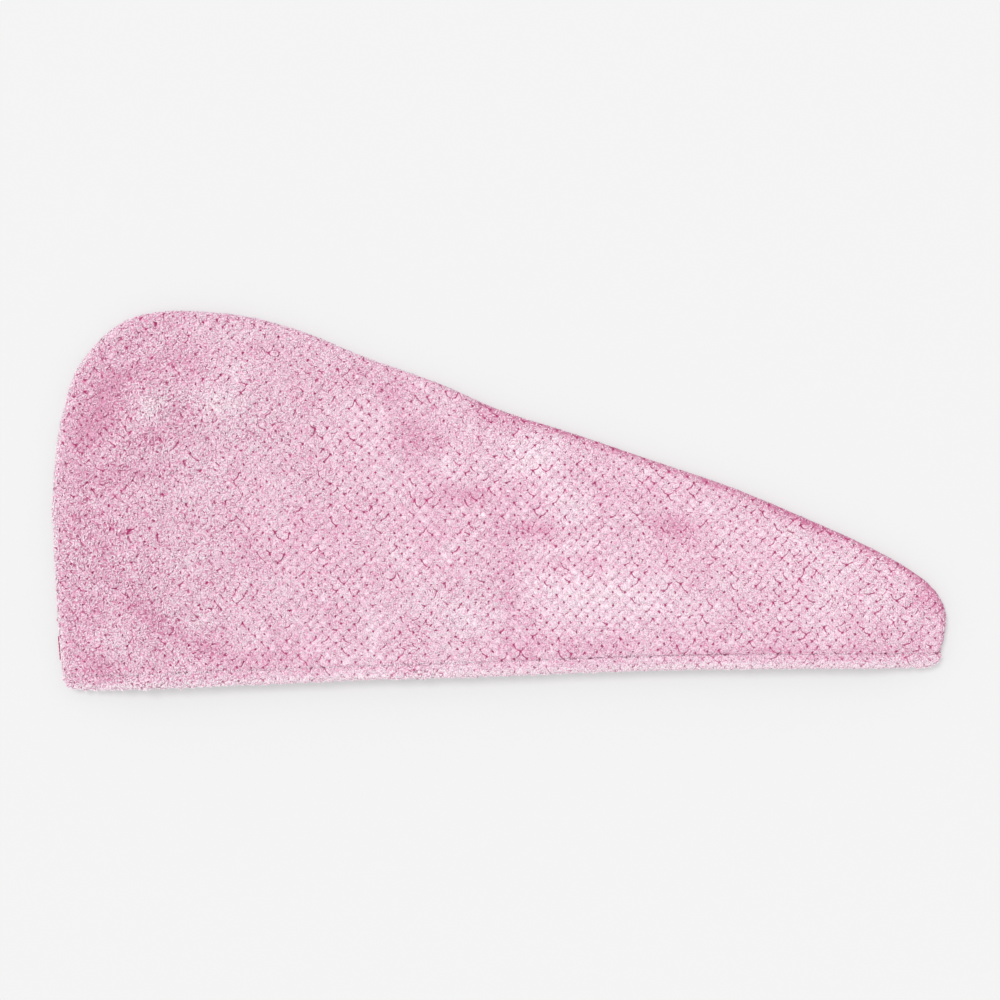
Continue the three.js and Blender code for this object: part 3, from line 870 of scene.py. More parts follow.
def ridge_object(name):
    low, high = (corner[2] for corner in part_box("edge_seam"))
    middle = EDGE_ROLL + RIDGE_WIDTH / 2
    ring_run = np.arange(RIDGE_START, len(sewn_line) - RIDGE_START)
    angle = np.arange(SEAM_SIDES) * 2 * math.pi / SEAM_SIDES
    slant = (ring_run[:, None] * EDGE_STEP + OVERLOCK_SLANT * np.cos(angle)) / OVERLOCK_PITCH
    threads = OVERLOCK_HEIGHT * (np.abs(np.sin(math.pi * slant)) - 1)
    level_point = sewn_line[LEVEL_POINT : LEVEL_POINT + 1]
    lift = read_at(lower_inside, *sewn_line[ring_run].T) - read_at(lower_inside, *level_point.T)
    inset = middle + (RIDGE_WIDTH / 2 + threads) * squared(np.cos(angle))
    z = (low + high) / 2 + lift[:, None] + ((high - low) / 2 + threads) * squared(np.sin(angle))
    place = sewn_line[ring_run, None, :] + inset[:, :, None] * sewn_inward[ring_run, None, :]
    last = ring_run[[0, -1]]
    ends = np.column_stack([sewn_line[last] + middle * sewn_inward[last], np.full(2, (low + high) / 2)])
    points = np.vstack([np.dstack([place, z]).reshape(-1, 3), ends])
    return link_object(name, closed_mesh(name, points, tube_faces(len(ring_run), SEAM_SIDES)))


def thread_shown(run):
    """1 along the short stretches by the nape where the pile has parted and the seam thread shows."""
    shown = np.zeros(np.shape(run))
    for start, end in THREAD_SHOWN:
        faded = smooth_step(run, start - THREAD_FADE, start) * (1 - smooth_step(run, end, end + THREAD_FADE))
        shown = np.maximum(shown, faded)
    return shown


def seam_thread_object(name):
    run = np.arange(len(sewn_line)) * EDGE_STEP
    waver = np.abs(np.sin(math.pi * run / STITCH_LENGTH))
    angle = np.arange(THREAD_SIDES) * 2 * math.pi / THREAD_SIDES
    radius = THREAD_RADIUS * (0.6 + 0.4 * waver)
    shown = thread_shown(run)
    deep = THREAD_DEEP * (1 - shown) - THREAD_OUT * shown - 0.2 * MM * waver
    inset = radius[:, None] * np.cos(angle) + deep[:, None]
    level = (UPPER_SEAM + LOWER_SEAM) / 2
    z = level + radius[:, None] * np.sin(angle)
    place = sewn_line[:, None, :] + inset[:, :, None] * sewn_inward[:, None, :]
    ends = np.column_stack([sewn_line[[0, -1]], np.full(2, level)])
    points = np.vstack([np.dstack([place, z]).reshape(-1, 3), ends])
    return link_object(name, closed_mesh(name, points, tube_faces(len(sewn_line), THREAD_SIDES)))


overlock = ridge_object("overlocked_allowance")
seam_thread = seam_thread_object("seam_thread")

# %% [markdown]
# ## The pile
# The pile is made of short tufts of fine fibre, about a millimetre thick. Each is a small bent cone with
# its own lean. They leave the crossings of the knit bare and the lines that gape. Beside a gaping line they
# lean back towards the middle of the cushion, so that it shows as a crack. Where the pile is ruffled they
# lie along winding streams instead. There are tens of thousands, so they are made from arrays and joined
# in a few pieces by where they stand. Each keeps how near its tip a point is, and its own tone.

# %% Scatter roots on a cloth
NODE_HOLE = 0.37
NODE_UNEVEN = 0.45
NODE_CELL = 5 * MM
SMOOTH_BACK = 3 * MM
LINE_GAP = 0.26


def scatter(piece, count, seed, weigh):
    """Evenly spread roots on a piece, with the normals there. weigh says how thickly each place is set."""
    mesh = piece.data
    mesh.calc_loop_triangles()
    corner = np.empty(3 * len(mesh.loop_triangles), np.int32)
    mesh.loop_triangles.foreach_get("vertices", corner)
    corner = corner.reshape(-1, 3)
    points = mesh_points(mesh)
    normals = np.empty(3 * len(mesh.vertices))
    mesh.vertices.foreach_get("normal", normals)
    normals = normals.reshape(-1, 3)
    a, b, c = (points[corner[:, k]] for k in range(3))
    area = np.linalg.norm(np.cross(b - a, c - a), axis=1)
    run = np.cumsum(area * weigh((a + b + c) / 3, normals[corner].mean(axis=1)))
    random = np.random.default_rng(seed)
    chosen = np.searchsorted(run, (np.arange(count) + random.random(count)) * run[-1] / count)
    chosen = np.clip(chosen, 0, len(corner) - 1)
    p, q = random.random(count), random.random(count)
    over = p + q > 1
    p[over], q[over] = 1 - p[over], 1 - q[over]
    share = np.column_stack([1 - p - q, p, q])[:, :, None]
    normal = (share * normals[corner[chosen]]).sum(axis=1)
    return (share * points[corner[chosen]]).sum(axis=1), normal / np.linalg.norm(normal, axis=1)[:, None]


def bare_lines(x, y, seed):
    """1 where tufts stand, and 0 on crossings and gaping lines of the knit, in specks and beside cracks."""
    u, v = knit_place(x, y, seed)
    one, other = np.abs(np.sin(math.pi * (u + v))), np.abs(np.sin(math.pi * (u - v)))
    gape = gape_of(x, y, seed, LINE_GAP)
    hole = NODE_HOLE * (1 + NODE_UNEVEN * value_noise(x, y, NODE_CELL, seed + 602))
    bare = (np.minimum(one, other) < LINE_GAP * gape) | (np.maximum(one, other) < hole)
    specks = value_noise(x, y, SPECK_CELL, seed + 601) + dark_rim(x, y) > SPECK_RARE
    inset, index = nearest_on_edge(x, y)
    smooth_back = (inset < SMOOTH_BACK) & (sewn_inward[index][:, 0] > 0.7)
    crack = in_curl_crack(x, y, seed)
    bare = (bare | ((crack > 0) & (crack < DEEP_CRACK)) | specks) & ~smooth_back
    return np.where(bare, 0.0, 1.0)


# %% Shape the tufts
TUFT_RING = 3
TUFT_LENGTH = 2.9 * MM
TUFT_RADIUS = 0.54 * MM
ORDERED_LENGTH = 0.57
SIDE_LENGTH = 0.45
RIM_SHORTER = 0.3
ROOT_DEPTH = 0.3 * MM
LEAN_SPREAD = 0.4
LEAST_LEAN = 0.8
MIDDLE_RISE, MIDDLE_REACH = 0.30, 0.30
TIP_RISE, TIP_REACH = 0.36, 0.95
NEAR_TIP = (0, 0, 0, 0.62, 0.62, 0.62, 1.0)
CRACK_RADIUS = 0.36 * MM
# Painted shade: the tone of the thin tufts that lie in the bottoms of cracks.
CRACK_SHADE_TONE = -2.0
CURL_PARTING = 0.45
OVER_HEM_REACH = 3.5 * MM
NAP = (0.1, -0.08)
PARTING_CLOSED = 0.15
PARTING_OPEN = -1.0
TONE_SPREAD = 0.28
SOFT_SHADING = 0.6


def lean_of(x, y, seed):
    """Which way the pile leans on the plan, and by how much: over closed lines and back from gaping ones."""
    u, v = knit_place(x, y, seed)
    order = knit_order(x, y)
    a, b = (u + v) % 1 - 0.5, (u - v) % 1 - 0.5
    outward = np.column_stack([(a + b) / 2 * KNIT_ALONG, (a - b) / 2 * KNIT_ACROSS]) / (KNIT_ALONG / 3.2)
    curl, rising = curl_way(x, y, seed)
    beside_crack = np.sign(curl) * np.exp(-((curl / CURL_PARTING) ** 2))
    along_curl = np.column_stack([-rising[:, 1], rising[:, 0]])
    winding = rising * beside_crack[:, None] + 0.8 * along_curl
    parting = PARTING_CLOSED + (PARTING_OPEN - PARTING_CLOSED) * gape_of(x, y, seed, 0.9)
    above_hem = y - mouth_y(x)
    over_hem = (1 - groove_share(x)) * np.exp(-((above_hem / OVER_HEM_REACH) ** 2))
    lean = outward * parting[:, None] + winding * (1.25 - order)[:, None] + np.array(NAP)
    return lean + np.column_stack([np.zeros(len(x)), -1.5 * np.sign(above_hem) * over_hem])


def tuft_leans(root, normal, crack, seed, random):
    """Each tuft's lean along the cloth, at most 1 long. A tuft in a crack, coloured as painted shade, lies
    along it.
    """
    flat = np.zeros(len(root))
    rising = curl_way(root[:, 0], root[:, 1], seed)[1]
    along_crack = np.column_stack([-rising[:, 1], rising[:, 0], flat])
    lean = np.column_stack([lean_of(root[:, 0], root[:, 1], seed), flat])
    lean += LEAN_SPREAD * random.normal(size=lean.shape)
    lean = np.where(crack[:, None], along_crack, lean)
    lean -= normal * (lean * normal).sum(axis=1)[:, None]
    return lean / np.maximum(np.linalg.norm(lean, axis=1), LEAST_LEAN)[:, None]


def tuft_points(root, normal, crack, seed, size, random):
    """Seven points for each tuft: a ring in the ground, a wider ring above it and the tip."""
    lean = tuft_leans(root, normal, crack, seed, random)
    count = len(root)
    crisp = knit_order(root[:, 0], root[:, 1])
    length = size * TUFT_LENGTH * (1 - (1 - ORDERED_LENGTH) * crisp) * random.uniform(0.75, 1.3, count)
    length = length * (SIDE_LENGTH + (1 - SIDE_LENGTH) * smooth_step(normal[:, 2], 0.2, 0.8))
    length = (length * (1 - RIM_SHORTER * dark_rim(root[:, 0], root[:, 1])))[:, None]
    radius = size * TUFT_RADIUS * random.uniform(0.75, 1.25, count)[:, None]
    radius = np.where(crack[:, None], CRACK_RADIUS, radius)
    start = root - ROOT_DEPTH * normal
    middle = root + length * (MIDDLE_RISE * normal + MIDDLE_REACH * lean)
    tip = root + length * (TIP_RISE * normal + TIP_REACH * lean)
    side = np.cross(normal, lean + 0.01)
    side /= np.linalg.norm(side, axis=1)[:, None]
    across = np.cross(tip - root, side)
    across /= np.linalg.norm(across, axis=1)[:, None]
    turn = random.uniform(0, 2 * math.pi, count)[:, None]
    rings = []
    for centre, width in ((start, 0.7), (middle, 1.0)):
        for k in range(TUFT_RING):
            angle = turn + 2 * math.pi * k / TUFT_RING
            rings.append(centre + radius * width * (np.cos(angle) * side + np.sin(angle) * across))
    points = np.stack([*rings, tip], axis=1)
    points[:, :, 2] = np.maximum(points[:, :, 2], 0)
    return points


def tuft_mesh(name, points, facing):
    """All the tufts as one mesh. Their shading is softened towards facing, one direction for each tuft."""
    corner = [(k, (k + 1) % 3, 3 + (k + 1) % 3) for k in range(TUFT_RING)]
    corner += [(k, 3 + (k + 1) % 3, 3 + k) for k in range(TUFT_RING)]
    corner += [(3 + k, 3 + (k + 1) % 3, 6) for k in range(TUFT_RING)]
    faces = np.array(corner)[None] + 7 * np.arange(len(points))[:, None, None]
    mesh = bpy.data.meshes.new(name)
    mesh.vertices.add(7 * len(points))
    mesh.vertices.foreach_set("co", points.ravel())
    mesh.loops.add(faces.size)
    mesh.loops.foreach_set("vertex_index", faces.ravel())
    mesh.polygons.add(faces.size // 3)
    mesh.polygons.foreach_set("loop_start", 3 * np.arange(faces.size // 3))
    mesh.polygons.foreach_set("use_smooth", [True] * (faces.size // 3))
    mesh.update(calc_edges=True)
    own = np.empty(3 * len(mesh.vertices))
    mesh.vertices.foreach_get("normal", own)
    soft = np.repeat(facing, 7, axis=0) + (1 - SOFT_SHADING) * own.reshape(-1, 3)
    mesh.normals_split_custom_set_from_vertices(soft / np.linalg.norm(soft, axis=1)[:, None])
    return mesh


def tuft_objects(name, roots, normals, seed, pieces=1, size=1.0, lift=0.0):
    """Tufts in a few joined pieces, from left to right. lift turns their shading upwards."""
    made = []
    order = np.argsort(roots[:, 0], kind="stable")
    for part, chosen in enumerate(np.array_split(order, pieces)):
        root, normal = roots[chosen], normals[chosen]
        random = np.random.default_rng(seed + part)
        crack = in_curl_crack(root[:, 0], root[:, 1], seed) >= DEEP_CRACK
        points = tuft_points(root, normal, crack, seed, size, random)
        mesh = tuft_mesh(name, points, SOFT_SHADING * normal + np.array((0, 0, lift)))
        tone = random.normal(0, TONE_SPREAD, len(root)) + pile_tone(root[:, 0], root[:, 1])
        keep_value(mesh, "tip", np.tile(NEAR_TIP, len(root)))
        # Tufts in the bottoms of cracks are coloured as painted shade.
        keep_value(mesh, "tone", np.repeat(np.where(crack, CRACK_SHADE_TONE, tone), 7))
        made.append(link_object(f"{name}_{part + 1}" if pieces > 1 else name, mesh))
        print(made[-1].name, len(mesh.polygons), "triangles")
    return made


# %% Set the tufts
UPPER_TUFTS = 62000
HEM_TUFTS = 6400
LOWER_RIM_TUFTS = 2600
LOWER_HEM_TUFTS = 2000
THREAD_CLEAR = 1.2 * MM
LOWER_SIZE = 0.8


def clear_of_thread(middle):
    inset, index = nearest_on_edge(middle[:, 0], middle[:, 1])
    return 1 - thread_shown(index * EDGE_STEP) * (inset < THREAD_CLEAR)


def on_upper_face(middle, normal):
    above = smooth_step(normal[:, 2], -0.3, 0.1)
    return above * bare_lines(middle[:, 0], middle[:, 1], UPPER_SEED) * clear_of_thread(middle)


def on_upper_hem(middle, normal):
    bare = bare_lines(middle[:, 0], middle[:, 1], UPPER_SEED)
    return (normal[:, 2] > -0.2) * np.where(normal[:, 1] < -0.35, 1, bare)


def on_lower_rim(middle, normal):
    low = from_sewn_edge(middle[:, 0], middle[:, 1]) < 0.9 * EDGE_ROLL
    return (low & (np.abs(normal[:, 2]) < 0.9)) * clear_of_thread(middle)


def on_lower_hem(middle, normal):
    return (normal[:, 1] < -0.2).astype(float)


upper_roots = scatter(upper_cloth, UPPER_TUFTS, 11, on_upper_face)
upper_tufts = tuft_objects("upper_tufts", *upper_roots, UPPER_SEED, pieces=3)
upper_hem_roots = scatter(upper_hem, HEM_TUFTS, 12, on_upper_hem)
hem_tufts = tuft_objects("upper_hem_tufts", *upper_hem_roots, UPPER_SEED, lift=0.8)
lower_rim_roots = scatter(lower_cloth, LOWER_RIM_TUFTS, 13, on_lower_rim)
lower_tufts = tuft_objects("lower_rim_tufts", *lower_rim_roots, LOWER_SEED, size=LOWER_SIZE)
lower_hem_roots = scatter(lower_hem, LOWER_HEM_TUFTS, 14, on_lower_hem)
lower_tufts += tuft_objects("lower_hem_tufts", *lower_hem_roots, LOWER_SEED, size=LOWER_SIZE)

# %% [markdown]
# ## The button
# The plain button under the nape corner is a turned disc with a shallow dish in its face and a short
# stem, and it lies face down. A cylinder is the nearest primitive. Its lower face is inset and pressed up
# for the dish, its upper face is inset and drawn out for the stem, and the edges are bevelled as moulded
# plastic has them.

# %% Model the button
BUTTON_RIM = 1.6 * MM
BUTTON_DISH = 0.5 * MM
STEM_RADIUS = 2.5 * MM
BUTTON_BEVEL = 0.35 * MM
BUTTON_DISC = 2.4 * MM


def select_face(mesh, normal_z):
    """Selects the one widest face that looks straight up or down."""
    for face in mesh.faces:
        face.select_set(False)
    found = [f for f in mesh.faces if f.normal.z * normal_z > 0.99]
    max(found, key=lambda f: f.calc_area()).select_set(True)
    mesh.select_flush(True)


def button_object(name):
    low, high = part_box("button")
    radius = (high[0] - low[0]) / 2
    centre = ((low[0] + high[0]) / 2, (low[1] + high[1]) / 2, low[2] + BUTTON_DISC / 2)
    bpy.ops.mesh.primitive_cylinder_add(vertices=96, radius=radius, depth=BUTTON_DISC, location=centre)
    piece = bpy.context.object
    piece.name = piece.data.name = name
    bpy.ops.object.mode_set(mode="EDIT")
    bpy.ops.mesh.select_mode(type="FACE")
    mesh = bmesh.from_edit_mesh(piece.data)
    select_face(mesh, -1)
    bpy.ops.mesh.inset(thickness=BUTTON_RIM)
    bpy.ops.mesh.inset(thickness=BUTTON_RIM)
    bpy.ops.transform.translate(value=(0, 0, BUTTON_DISH))
    mesh = bmesh.from_edit_mesh(piece.data)
    select_face(mesh, 1)
    bpy.ops.mesh.inset(thickness=radius - STEM_RADIUS)
    bpy.ops.mesh.extrude_region_move(
        TRANSFORM_OT_translate={"value": (0, 0, high[2] - low[2] - BUTTON_DISC)}
    )
    bpy.ops.object.mode_set(mode="OBJECT")
    bevel = piece.modifiers.new("edges", "BEVEL")
    bevel.width, bevel.segments, bevel.limit_method = BUTTON_BEVEL, 3, "ANGLE"
    bpy.ops.object.modifier_apply(modifier=bevel.name)
    bpy.ops.object.transform_apply(location=True, rotation=True, scale=True)
    bpy.ops.object.shade_smooth_by_angle(angle=math.radians(35))
    print(name, len(piece.data.polygons), "faces")
    return piece


button = button_object("shank_button")

# %% [markdown]
# ## The colours of the cloth
# Pile cloth has no shine, only a faint bloom. It is pale where the tips of the fibres face the light, and
# deeper in the cracks between tufts, where the light has passed through dyed fibre many times. Two effects
# are shared by all the cloth: curly pile, whose ridges wind like tiny worms, and the knit's slanting lines
# with a dark dot at each crossing.

# %% Shared shader groups
PILE_SIZE = 2.1 * MM
PILE_WARP = 2.86
CURL_TURNS = 26.0
LINE_WIDTH = 0.28
DOT_WIDTH = 0.55


def feed(tree, socket, value):
    """Links another node's output to a socket, or sets the socket to a value."""
    if isinstance(value, bpy.types.NodeSocket):
        tree.links.new(value, socket)
    else:
        socket.default_value = value


def add_node(tree, kind, settings=None, **sockets):
    node = tree.nodes.new(kind)
    for key, value in (settings or {}).items():
        setattr(node, key, value)
    for key, value in sockets.items():
        feed(tree, node.inputs[key.replace("_", " ")], value)
    return node


def add_math(tree, operation, a, b=0.0, kind="ShaderNodeMath"):
    node = add_node(tree, kind, {"operation": operation})
    for socket, value in zip(node.inputs, (a, b)):
        feed(tree, socket, value)
    return node.outputs[0]


def scaled(tree, vector, scale):
    node = add_node(tree, "ShaderNodeVectorMath", {"operation": "SCALE"}, Vector=vector, Scale=scale)
    return node.outputs[0]


def remap(tree, value, low, high, to_low=0.0, to_high=1.0):
    node = add_node(tree, "ShaderNodeMapRange", {"interpolation_type": "SMOOTHSTEP"})
    labels = ("Value", "From Min", "From Max", "To Min", "To Max")
    for label, given in zip(labels, (value, low, high, to_low, to_high)):
        feed(tree, node.inputs[label], given)
    return node.outputs["Result"]


def new_group(name, vector, values, outputs):
    """An empty shader group, with what its inputs give and what its outputs take."""
    tree = bpy.data.node_groups.new(name, "ShaderNodeTree")
    tree.interface.new_socket(vector, in_out="INPUT", socket_type="NodeSocketVector")
    for label, value in values.items():
        tree.interface.new_socket(label, in_out="INPUT", socket_type="NodeSocketFloat").default_value = value
    for label in outputs:
        tree.interface.new_socket(label, in_out="OUTPUT", socket_type="NodeSocketFloat")
    return tree, tree.nodes.new("NodeGroupInput").outputs, tree.nodes.new("NodeGroupOutput").inputs


def curly_pile_group():
    """Winding ridges of pile: Height is 1 on a ridge and 0 in a crack."""
    tree, given, result = new_group("Curly pile", "Vector", {"Size": PILE_SIZE}, ["Height"])
    place = scaled(tree, given["Vector"], add_math(tree, "DIVIDE", 1.0, given["Size"]))
    warp = add_node(tree, "ShaderNodeTexNoise", Vector=place, Scale=0.55, Detail=1.0)
    drift = add_math(tree, "SUBTRACT", warp.outputs["Color"], (0.5, 0.5, 0.5), "ShaderNodeVectorMath")
    moved = add_math(tree, "ADD", place, scaled(tree, drift, PILE_WARP), "ShaderNodeVectorMath")
    contour = add_node(tree, "ShaderNodeTexNoise", Vector=moved, Scale=0.42, Detail=0.5)
    waves = add_math(tree, "SINE", add_math(tree, "MULTIPLY", contour.outputs["Fac"], CURL_TURNS))
    ridge = add_math(tree, "POWER", add_math(tree, "MULTIPLY", add_math(tree, "ADD", waves, 1.0), 0.5), 0.7)
    cells = add_node(tree, "ShaderNodeTexVoronoi", {"feature": "F1"}, Vector=moved, Scale=0.9)
    beads = add_math(tree, "SUBTRACT", 1.0, remap(tree, cells.outputs["Distance"], 0.1, 0.75))
    ridge, beads = add_math(tree, "MULTIPLY", ridge, 0.55), add_math(tree, "MULTIPLY", beads, 0.45)
    feed(tree, result["Height"], add_math(tree, "ADD", ridge, beads))
    return tree


def knit_group():
    """The knit's lines and dots: each output is 1 on its mark and 0 away from it."""
    widths = {"Line": LINE_WIDTH, "Dot": DOT_WIDTH}
    tree, given, result = new_group("Knitted diamonds", "Knit", widths, ["Lines", "Dots"])
    parts = add_node(tree, "ShaderNodeSeparateXYZ", Vector=given["Knit"])
    sums = [add_math(tree, way, parts.outputs[0], parts.outputs[1]) for way in ("ADD", "SUBTRACT")]
    waves = [add_math(tree, "SINE", add_math(tree, "MULTIPLY", s, math.pi)) for s in sums]
    waves = [add_math(tree, "ABSOLUTE", wave) for wave in waves]
    near_line = add_math(tree, "DIVIDE", add_math(tree, "MINIMUM", *waves), given["Line"])
    near_dot = add_math(tree, "DIVIDE", add_math(tree, "MAXIMUM", *waves), given["Dot"])
    feed(tree, result["Lines"], add_math(tree, "SUBTRACT", 1.0, remap(tree, near_line, 0.2, 1.0)))
    feed(tree, result["Dots"], add_math(tree, "SUBTRACT", 1.0, remap(tree, near_dot, 0.3, 1.0)))
    return tree


curly_pile = curly_pile_group()
knitted_diamonds = knit_group()
print("groups", curly_pile.name, "and", knitted_diamonds.name)

# %% Pile cloth material
PILE_LIGHT = (0.97, 0.91, 0.95)
PILE_BODY = (0.92, 0.735, 0.835)
PILE_SHADE = (0.77, 0.46, 0.60)
# Painted shade near the tufts' roots.
PILE_ROOT_SHADE = (0.66, 0.24, 0.40)
# Painted shade in the cracks between the curls.
PILE_CRACK_SHADE = (0.56, 0.10, 0.26)
# The knit's ground deep in the pile, in its own colour with painted shade over it.
PILE_GROUND_AND_SHADE = (0.37, 0.03, 0.13)
SHEEN_COLOUR = (0.86, 0.62, 0.73)
CURL_BUMP = 0.9 * MM
FIBRE_BUMP = 0.25 * MM


def mix_colour(tree, share, a, b):
    node = add_node(tree, "ShaderNodeMix", {"data_type": "RGBA"})
    feed(tree, node.inputs["Factor"], share)
    for socket, value in zip(node.inputs[6:8], (a, b)):
        feed(tree, socket, (*value, 1.0) if isinstance(value, tuple) else value)
    return node.outputs[2]


def new_material(name, roughness=None):
    material = bpy.data.materials.new(name)
    material.use_nodes = True
    shader = material.node_tree.nodes["Principled BSDF"]
    if roughness is not None:
        shader.inputs["Roughness"].default_value = roughness
    return material, material.node_tree, shader


def add_bump(tree, shader, height, distance, strength, under=None):
    """Bump from a height, over another bump where one is given."""
    bump = add_node(tree, "ShaderNodeBump", Height=height, Distance=distance, Strength=strength)
    if under is not None:
        feed(tree, bump.inputs["Normal"], under)
    feed(tree, shader.inputs["Normal"], bump.outputs[0])
    return bump.outputs[0]


def give_bloom(shader):
    """The faint pink bloom of fine fibres."""
    shader.inputs["Specular IOR Level"].default_value = 0.15
    shader.inputs["Sheen Weight"].default_value = 0.25
    shader.inputs["Sheen Tint"].default_value = (*SHEEN_COLOUR, 1.0)
    shader.inputs["Sheen Roughness"].default_value = 0.5


def attribute(tree, label):
    return add_node(tree, "ShaderNodeAttribute", {"attribute_name": label}).outputs["Fac"]


def tone_colour(tree, toned):
    """From the ground's painted shade, through shade and body, to light as the tone rises."""
    colour = mix_colour(tree, remap(tree, toned, -1.7, -1.2), PILE_GROUND_AND_SHADE, PILE_SHADE)
    colour = mix_colour(tree, remap(tree, toned, -0.45, 0.4), colour, PILE_BODY)
    return mix_colour(tree, remap(tree, toned, 0.15, 1.0), colour, PILE_LIGHT)


def pile_material(name):
    """The cloth's ground: the pile's tone, paler on the curls' ridges and deeper in their cracks as painted
    light and shade, and darkest on the knit's lines and dots, the ground with painted shade.
    """
    material, tree, shader = new_material(name, roughness=0.95)
    place = tree.nodes.new("ShaderNodeTexCoord").outputs["Object"]
    knit = add_node(tree, "ShaderNodeUVMap", {"uv_map": "knit"}).outputs["UV"]
    height = add_node(tree, "ShaderNodeGroup", {"node_tree": curly_pile}, Vector=place).outputs["Height"]
    marks = add_node(tree, "ShaderNodeGroup", {"node_tree": knitted_diamonds}, Knit=knit).outputs
    fibres = add_node(tree, "ShaderNodeTexNoise", Vector=place, Scale=1100.0, Detail=2.0)
    # Painted light and shade: the curls' ridges are paler and their cracks deeper.
    toned = add_math(tree, "ADD", attribute(tree, "tone"), remap(tree, height, 0.3, 0.95, -0.5, 0.2))
    crack = add_math(tree, "SUBTRACT", 1.0, remap(tree, height, 0.12, 0.5))
    # Painted shade: deeper still where the pile is ruffled or painted in shade, and on the down-turned edge.
    splayed = add_math(tree, "ADD", attribute(tree, "ruffled"), attribute(tree, "rim"))
    deep = add_math(tree, "MULTIPLY", crack, 0.35)
    deep = add_math(tree, "ADD", deep, add_math(tree, "MULTIPLY", splayed, 0.15))
    deep = add_math(tree, "ADD", deep, 0.12)
    colour = mix_colour(tree, add_math(tree, "MINIMUM", deep, 0.85), tone_colour(tree, toned), PILE_CRACK_SHADE)
    # Painted shade on the down-turned edge, in the ground's colour.
    colour = mix_colour(tree, add_math(tree, "MULTIPLY", attribute(tree, "rim"), 0.5), colour, PILE_GROUND_AND_SHADE)
    # The knit's gaping lines and the dots at its crossings show the ground, with painted shade.
    lines = add_math(tree, "MULTIPLY", marks["Lines"], attribute(tree, "gape"))
    dots = add_math(tree, "MULTIPLY", marks["Dots"], attribute(tree, "plainly"))
    colour = mix_colour(tree, add_math(tree, "MAXIMUM", lines, dots), colour, PILE_GROUND_AND_SHADE)
    feed(tree, shader.inputs["Base Color"], colour)
    give_bloom(shader)
    curls = add_bump(tree, shader, height, CURL_BUMP, 0.9)
    add_bump(tree, shader, fibres.outputs["Fac"], FIBRE_BUMP, 0.6, under=curls)
    return material


def tuft_material(name):
    """The tufts: the pile's tone with a soft mottle, and painted shade deepening towards their roots."""
    material, tree, shader = new_material(name, roughness=0.9)
    place = tree.nodes.new("ShaderNodeTexCoord").outputs["Object"]
    mottle = add_node(tree, "ShaderNodeTexNoise", Vector=place, Scale=75.0, Detail=3.0)
    fibres = add_node(tree, "ShaderNodeTexNoise", Vector=place, Scale=1500.0, Detail=2.0)
    shift = add_math(tree, "MULTIPLY", add_math(tree, "SUBTRACT", mottle.outputs["Fac"], 0.5), 0.5)
    colour = tone_colour(tree, add_math(tree, "ADD", attribute(tree, "tone"), shift))
    # Painted shade: the tufts deepen towards their roots.
    root = add_math(tree, "SUBTRACT", 1.0, remap(tree, attribute(tree, "tip"), 0.1, 1.0))
    feed(tree, shader.inputs["Base Color"], mix_colour(tree, root, colour, PILE_ROOT_SHADE))
    give_bloom(shader)
    add_bump(tree, shader, fibres.outputs["Fac"], FIBRE_BUMP, 0.6)
    return material


pile_cloth = pile_material("pile cloth")
for piece in (upper_cloth, lower_cloth, upper_hem, lower_hem):
    piece.data.materials.append(pile_cloth)
pile_tufts = tuft_material("pile tufts")
for piece in (*upper_tufts, *hem_tufts, *lower_tufts):
    piece.data.materials.append(pile_tufts)

# %% Seam thread and button materials
THREAD_COLOUR = (0.60, 0.02, 0.17)
ALLOWANCE_COLOUR = (0.655, 0.29, 0.412)
BUTTON_COLOUR = (0.69, 0.29, 0.43)
SEAM_PLY = 0.8 * MM
OVERLOCK_PLY = 0.9 * MM


def thread_material(name, colour, ply):
    """Twisted thread: slanting plies with a fine fuzz."""
    material, tree, shader = new_material(name, roughness=0.8)
    place = tree.nodes.new("ShaderNodeTexCoord").outputs["Object"]
    settings = {"bands_direction": "DIAGONAL"}
    plies = add_node(tree, "ShaderNodeTexWave", settings, Vector=place, Scale=0.3 / ply, Distortion=1.5)
    fuzz = add_node(tree, "ShaderNodeTexNoise", Vector=place, Scale=2500.0, Detail=2.0)
    shade = add_math(tree, "ADD", plies.outputs["Fac"], fuzz.outputs["Fac"])
    shade = add_math(tree, "MULTIPLY", shade, 0.5)
    deep = tuple(0.45 * c for c in colour)
    feed(tree, shader.inputs["Base Color"], mix_colour(tree, remap(tree, shade, 0.2, 0.8), deep, colour))
    add_bump(tree, shader, shade, 0.3 * ply, 0.8)
    return material


def button_material(name):
    """Moulded plastic: faintly clouded, and worn dull in fine specks."""
    material, tree, shader = new_material(name)
    place = tree.nodes.new("ShaderNodeTexCoord").outputs["Object"]
    clouds = add_node(tree, "ShaderNodeTexNoise", Vector=place, Scale=160.0, Detail=4.0)
    wear = add_node(tree, "ShaderNodeTexNoise", Vector=place, Scale=2200.0, Detail=3.0).outputs["Fac"]
    pale = tuple(min(1.0, 1.25 * c) for c in BUTTON_COLOUR)
    colour = mix_colour(tree, remap(tree, clouds.outputs["Fac"], 0.3, 0.7), BUTTON_COLOUR, pale)
    feed(tree, shader.inputs["Base Color"], colour)
    feed(tree, shader.inputs["Roughness"], remap(tree, wear, 0.3, 0.7, 0.28, 0.45))
    add_bump(tree, shader, wear, 0.02 * MM, 0.5)
    return material


seam_thread.data.materials.append(thread_material("seam thread", THREAD_COLOUR, SEAM_PLY))
overlock.data.materials.append(thread_material("overlock thread", ALLOWANCE_COLOUR, OVERLOCK_PLY))
button.data.materials.append(button_material("button plastic"))

# %% [markdown]
# ## Each piece takes its solid's place
# Every dressed piece rides on the towel's one body and hides the plain solid that it stands for.

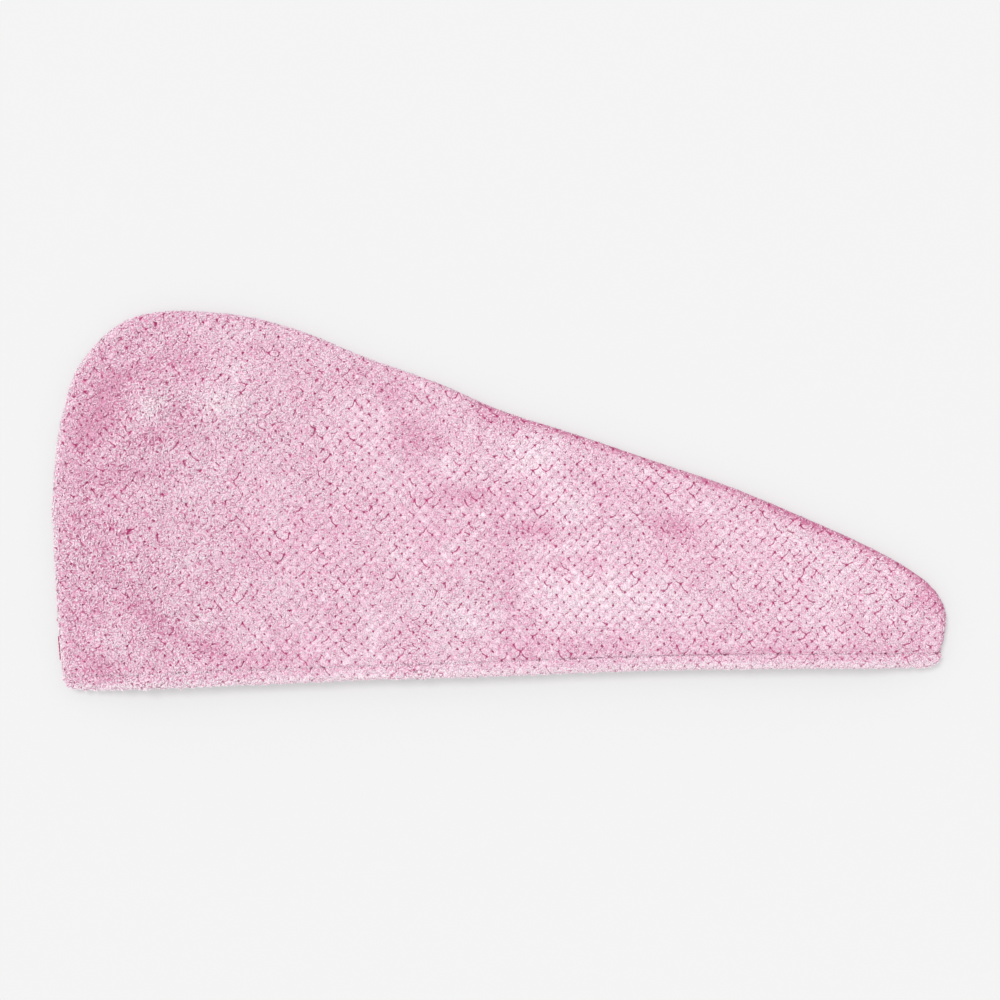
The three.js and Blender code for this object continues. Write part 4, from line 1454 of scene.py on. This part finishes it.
for piece, node, slot in (
    (upper_cloth, "upper_panel", "pile_cloth"),
    (lower_cloth, "lower_panel", "pile_cloth"),
    (upper_hem, "upper_hem", "pile_cloth"),
    (lower_hem, "lower_hem", "pile_cloth"),
    (overlock, "edge_seam", "seam_cloth"),
    (button, "button", "button_plastic"),
):
    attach(piece, "root")
    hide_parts(node)
for piece in (*upper_tufts, *hem_tufts, *lower_tufts):
    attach(piece, "root")
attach(seam_thread, "root")

# %% [markdown]
# ## Floor and light
# The towel lies on plain pale paper that is lit a little from beneath, as on a light table, so shadows stay
# faint. One soft light, far off and high on the upper left, models the cushions and leaves a narrow
# shadow under the lower edge and past the tip. An even pale surround fills the rest.

# %% Floor
FLOOR_SIZE = 6.0
FLOOR_COLOUR = (0.46, 0.46, 0.46)
FLOOR_GLOW = 0.305

bpy.ops.mesh.primitive_plane_add(size=FLOOR_SIZE, location=(0, 0, -0.05 * MM))
floor = bpy.context.object
floor.name = "floor"
floor_material, floor_tree, floor_shader = new_material("floor")
floor_shader.inputs["Base Color"].default_value = (*FLOOR_COLOUR, 1)
floor_shader.inputs["Emission Color"].default_value = (1, 1, 1, 1)
floor_shader.inputs["Emission Strength"].default_value = FLOOR_GLOW
floor_shader.inputs["Roughness"].default_value = 0.9
floor_shader.inputs["Specular IOR Level"].default_value = 0.1
floor.data.materials.append(floor_material)
floor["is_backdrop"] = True

# %% Light
KEY_STRENGTH = 1.55
KEY_ANGLE = math.radians(24)
KEY_FROM = Vector((-1.9, 1.9, 5.6))
SURROUND = 0.86

light = bpy.data.lights.new("key", "SUN")
light.energy, light.angle = KEY_STRENGTH, KEY_ANGLE
key = bpy.data.objects.new("key", light)
key.location = KEY_FROM
key.rotation_euler = (-KEY_FROM).to_track_quat("-Z", "Y").to_euler()
bpy.context.scene.collection.objects.link(key)
key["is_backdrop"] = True
world = bpy.data.worlds.new("surround")
world.use_nodes = True
world.node_tree.nodes["Background"].inputs["Color"].default_value = (1, 1, 1, 1)
world.node_tree.nodes["Background"].inputs["Strength"].default_value = SURROUND
bpy.context.scene.world = world

# %% [markdown]
# ## Camera
# The photograph looks straight down from far enough away that the cloth's thickness hardly shows, so a
# long lens is centred over the towel. Its height follows from the width that the picture takes in. Colours
# are shown as they are, without a film curve, because pale cloth on a pale floor is nearly all highlights.

# %% Camera and colour display
LENS = 85.0
SENSOR = 36.0
SEEN_WIDTH = 0.7285
CAMERA_SIDE = -0.0007
CLOTH_LEVEL = 0.005

camera_data = bpy.data.cameras.new("camera")
camera_data.lens, camera_data.sensor_width = LENS, SENSOR
camera = bpy.data.objects.new("camera", camera_data)
camera.location = (CAMERA_SIDE, 0, SEEN_WIDTH * LENS / SENSOR + CLOTH_LEVEL)
bpy.context.scene.collection.objects.link(camera)
bpy.context.scene.camera = camera
bpy.context.scene.view_settings.view_transform = "Standard"
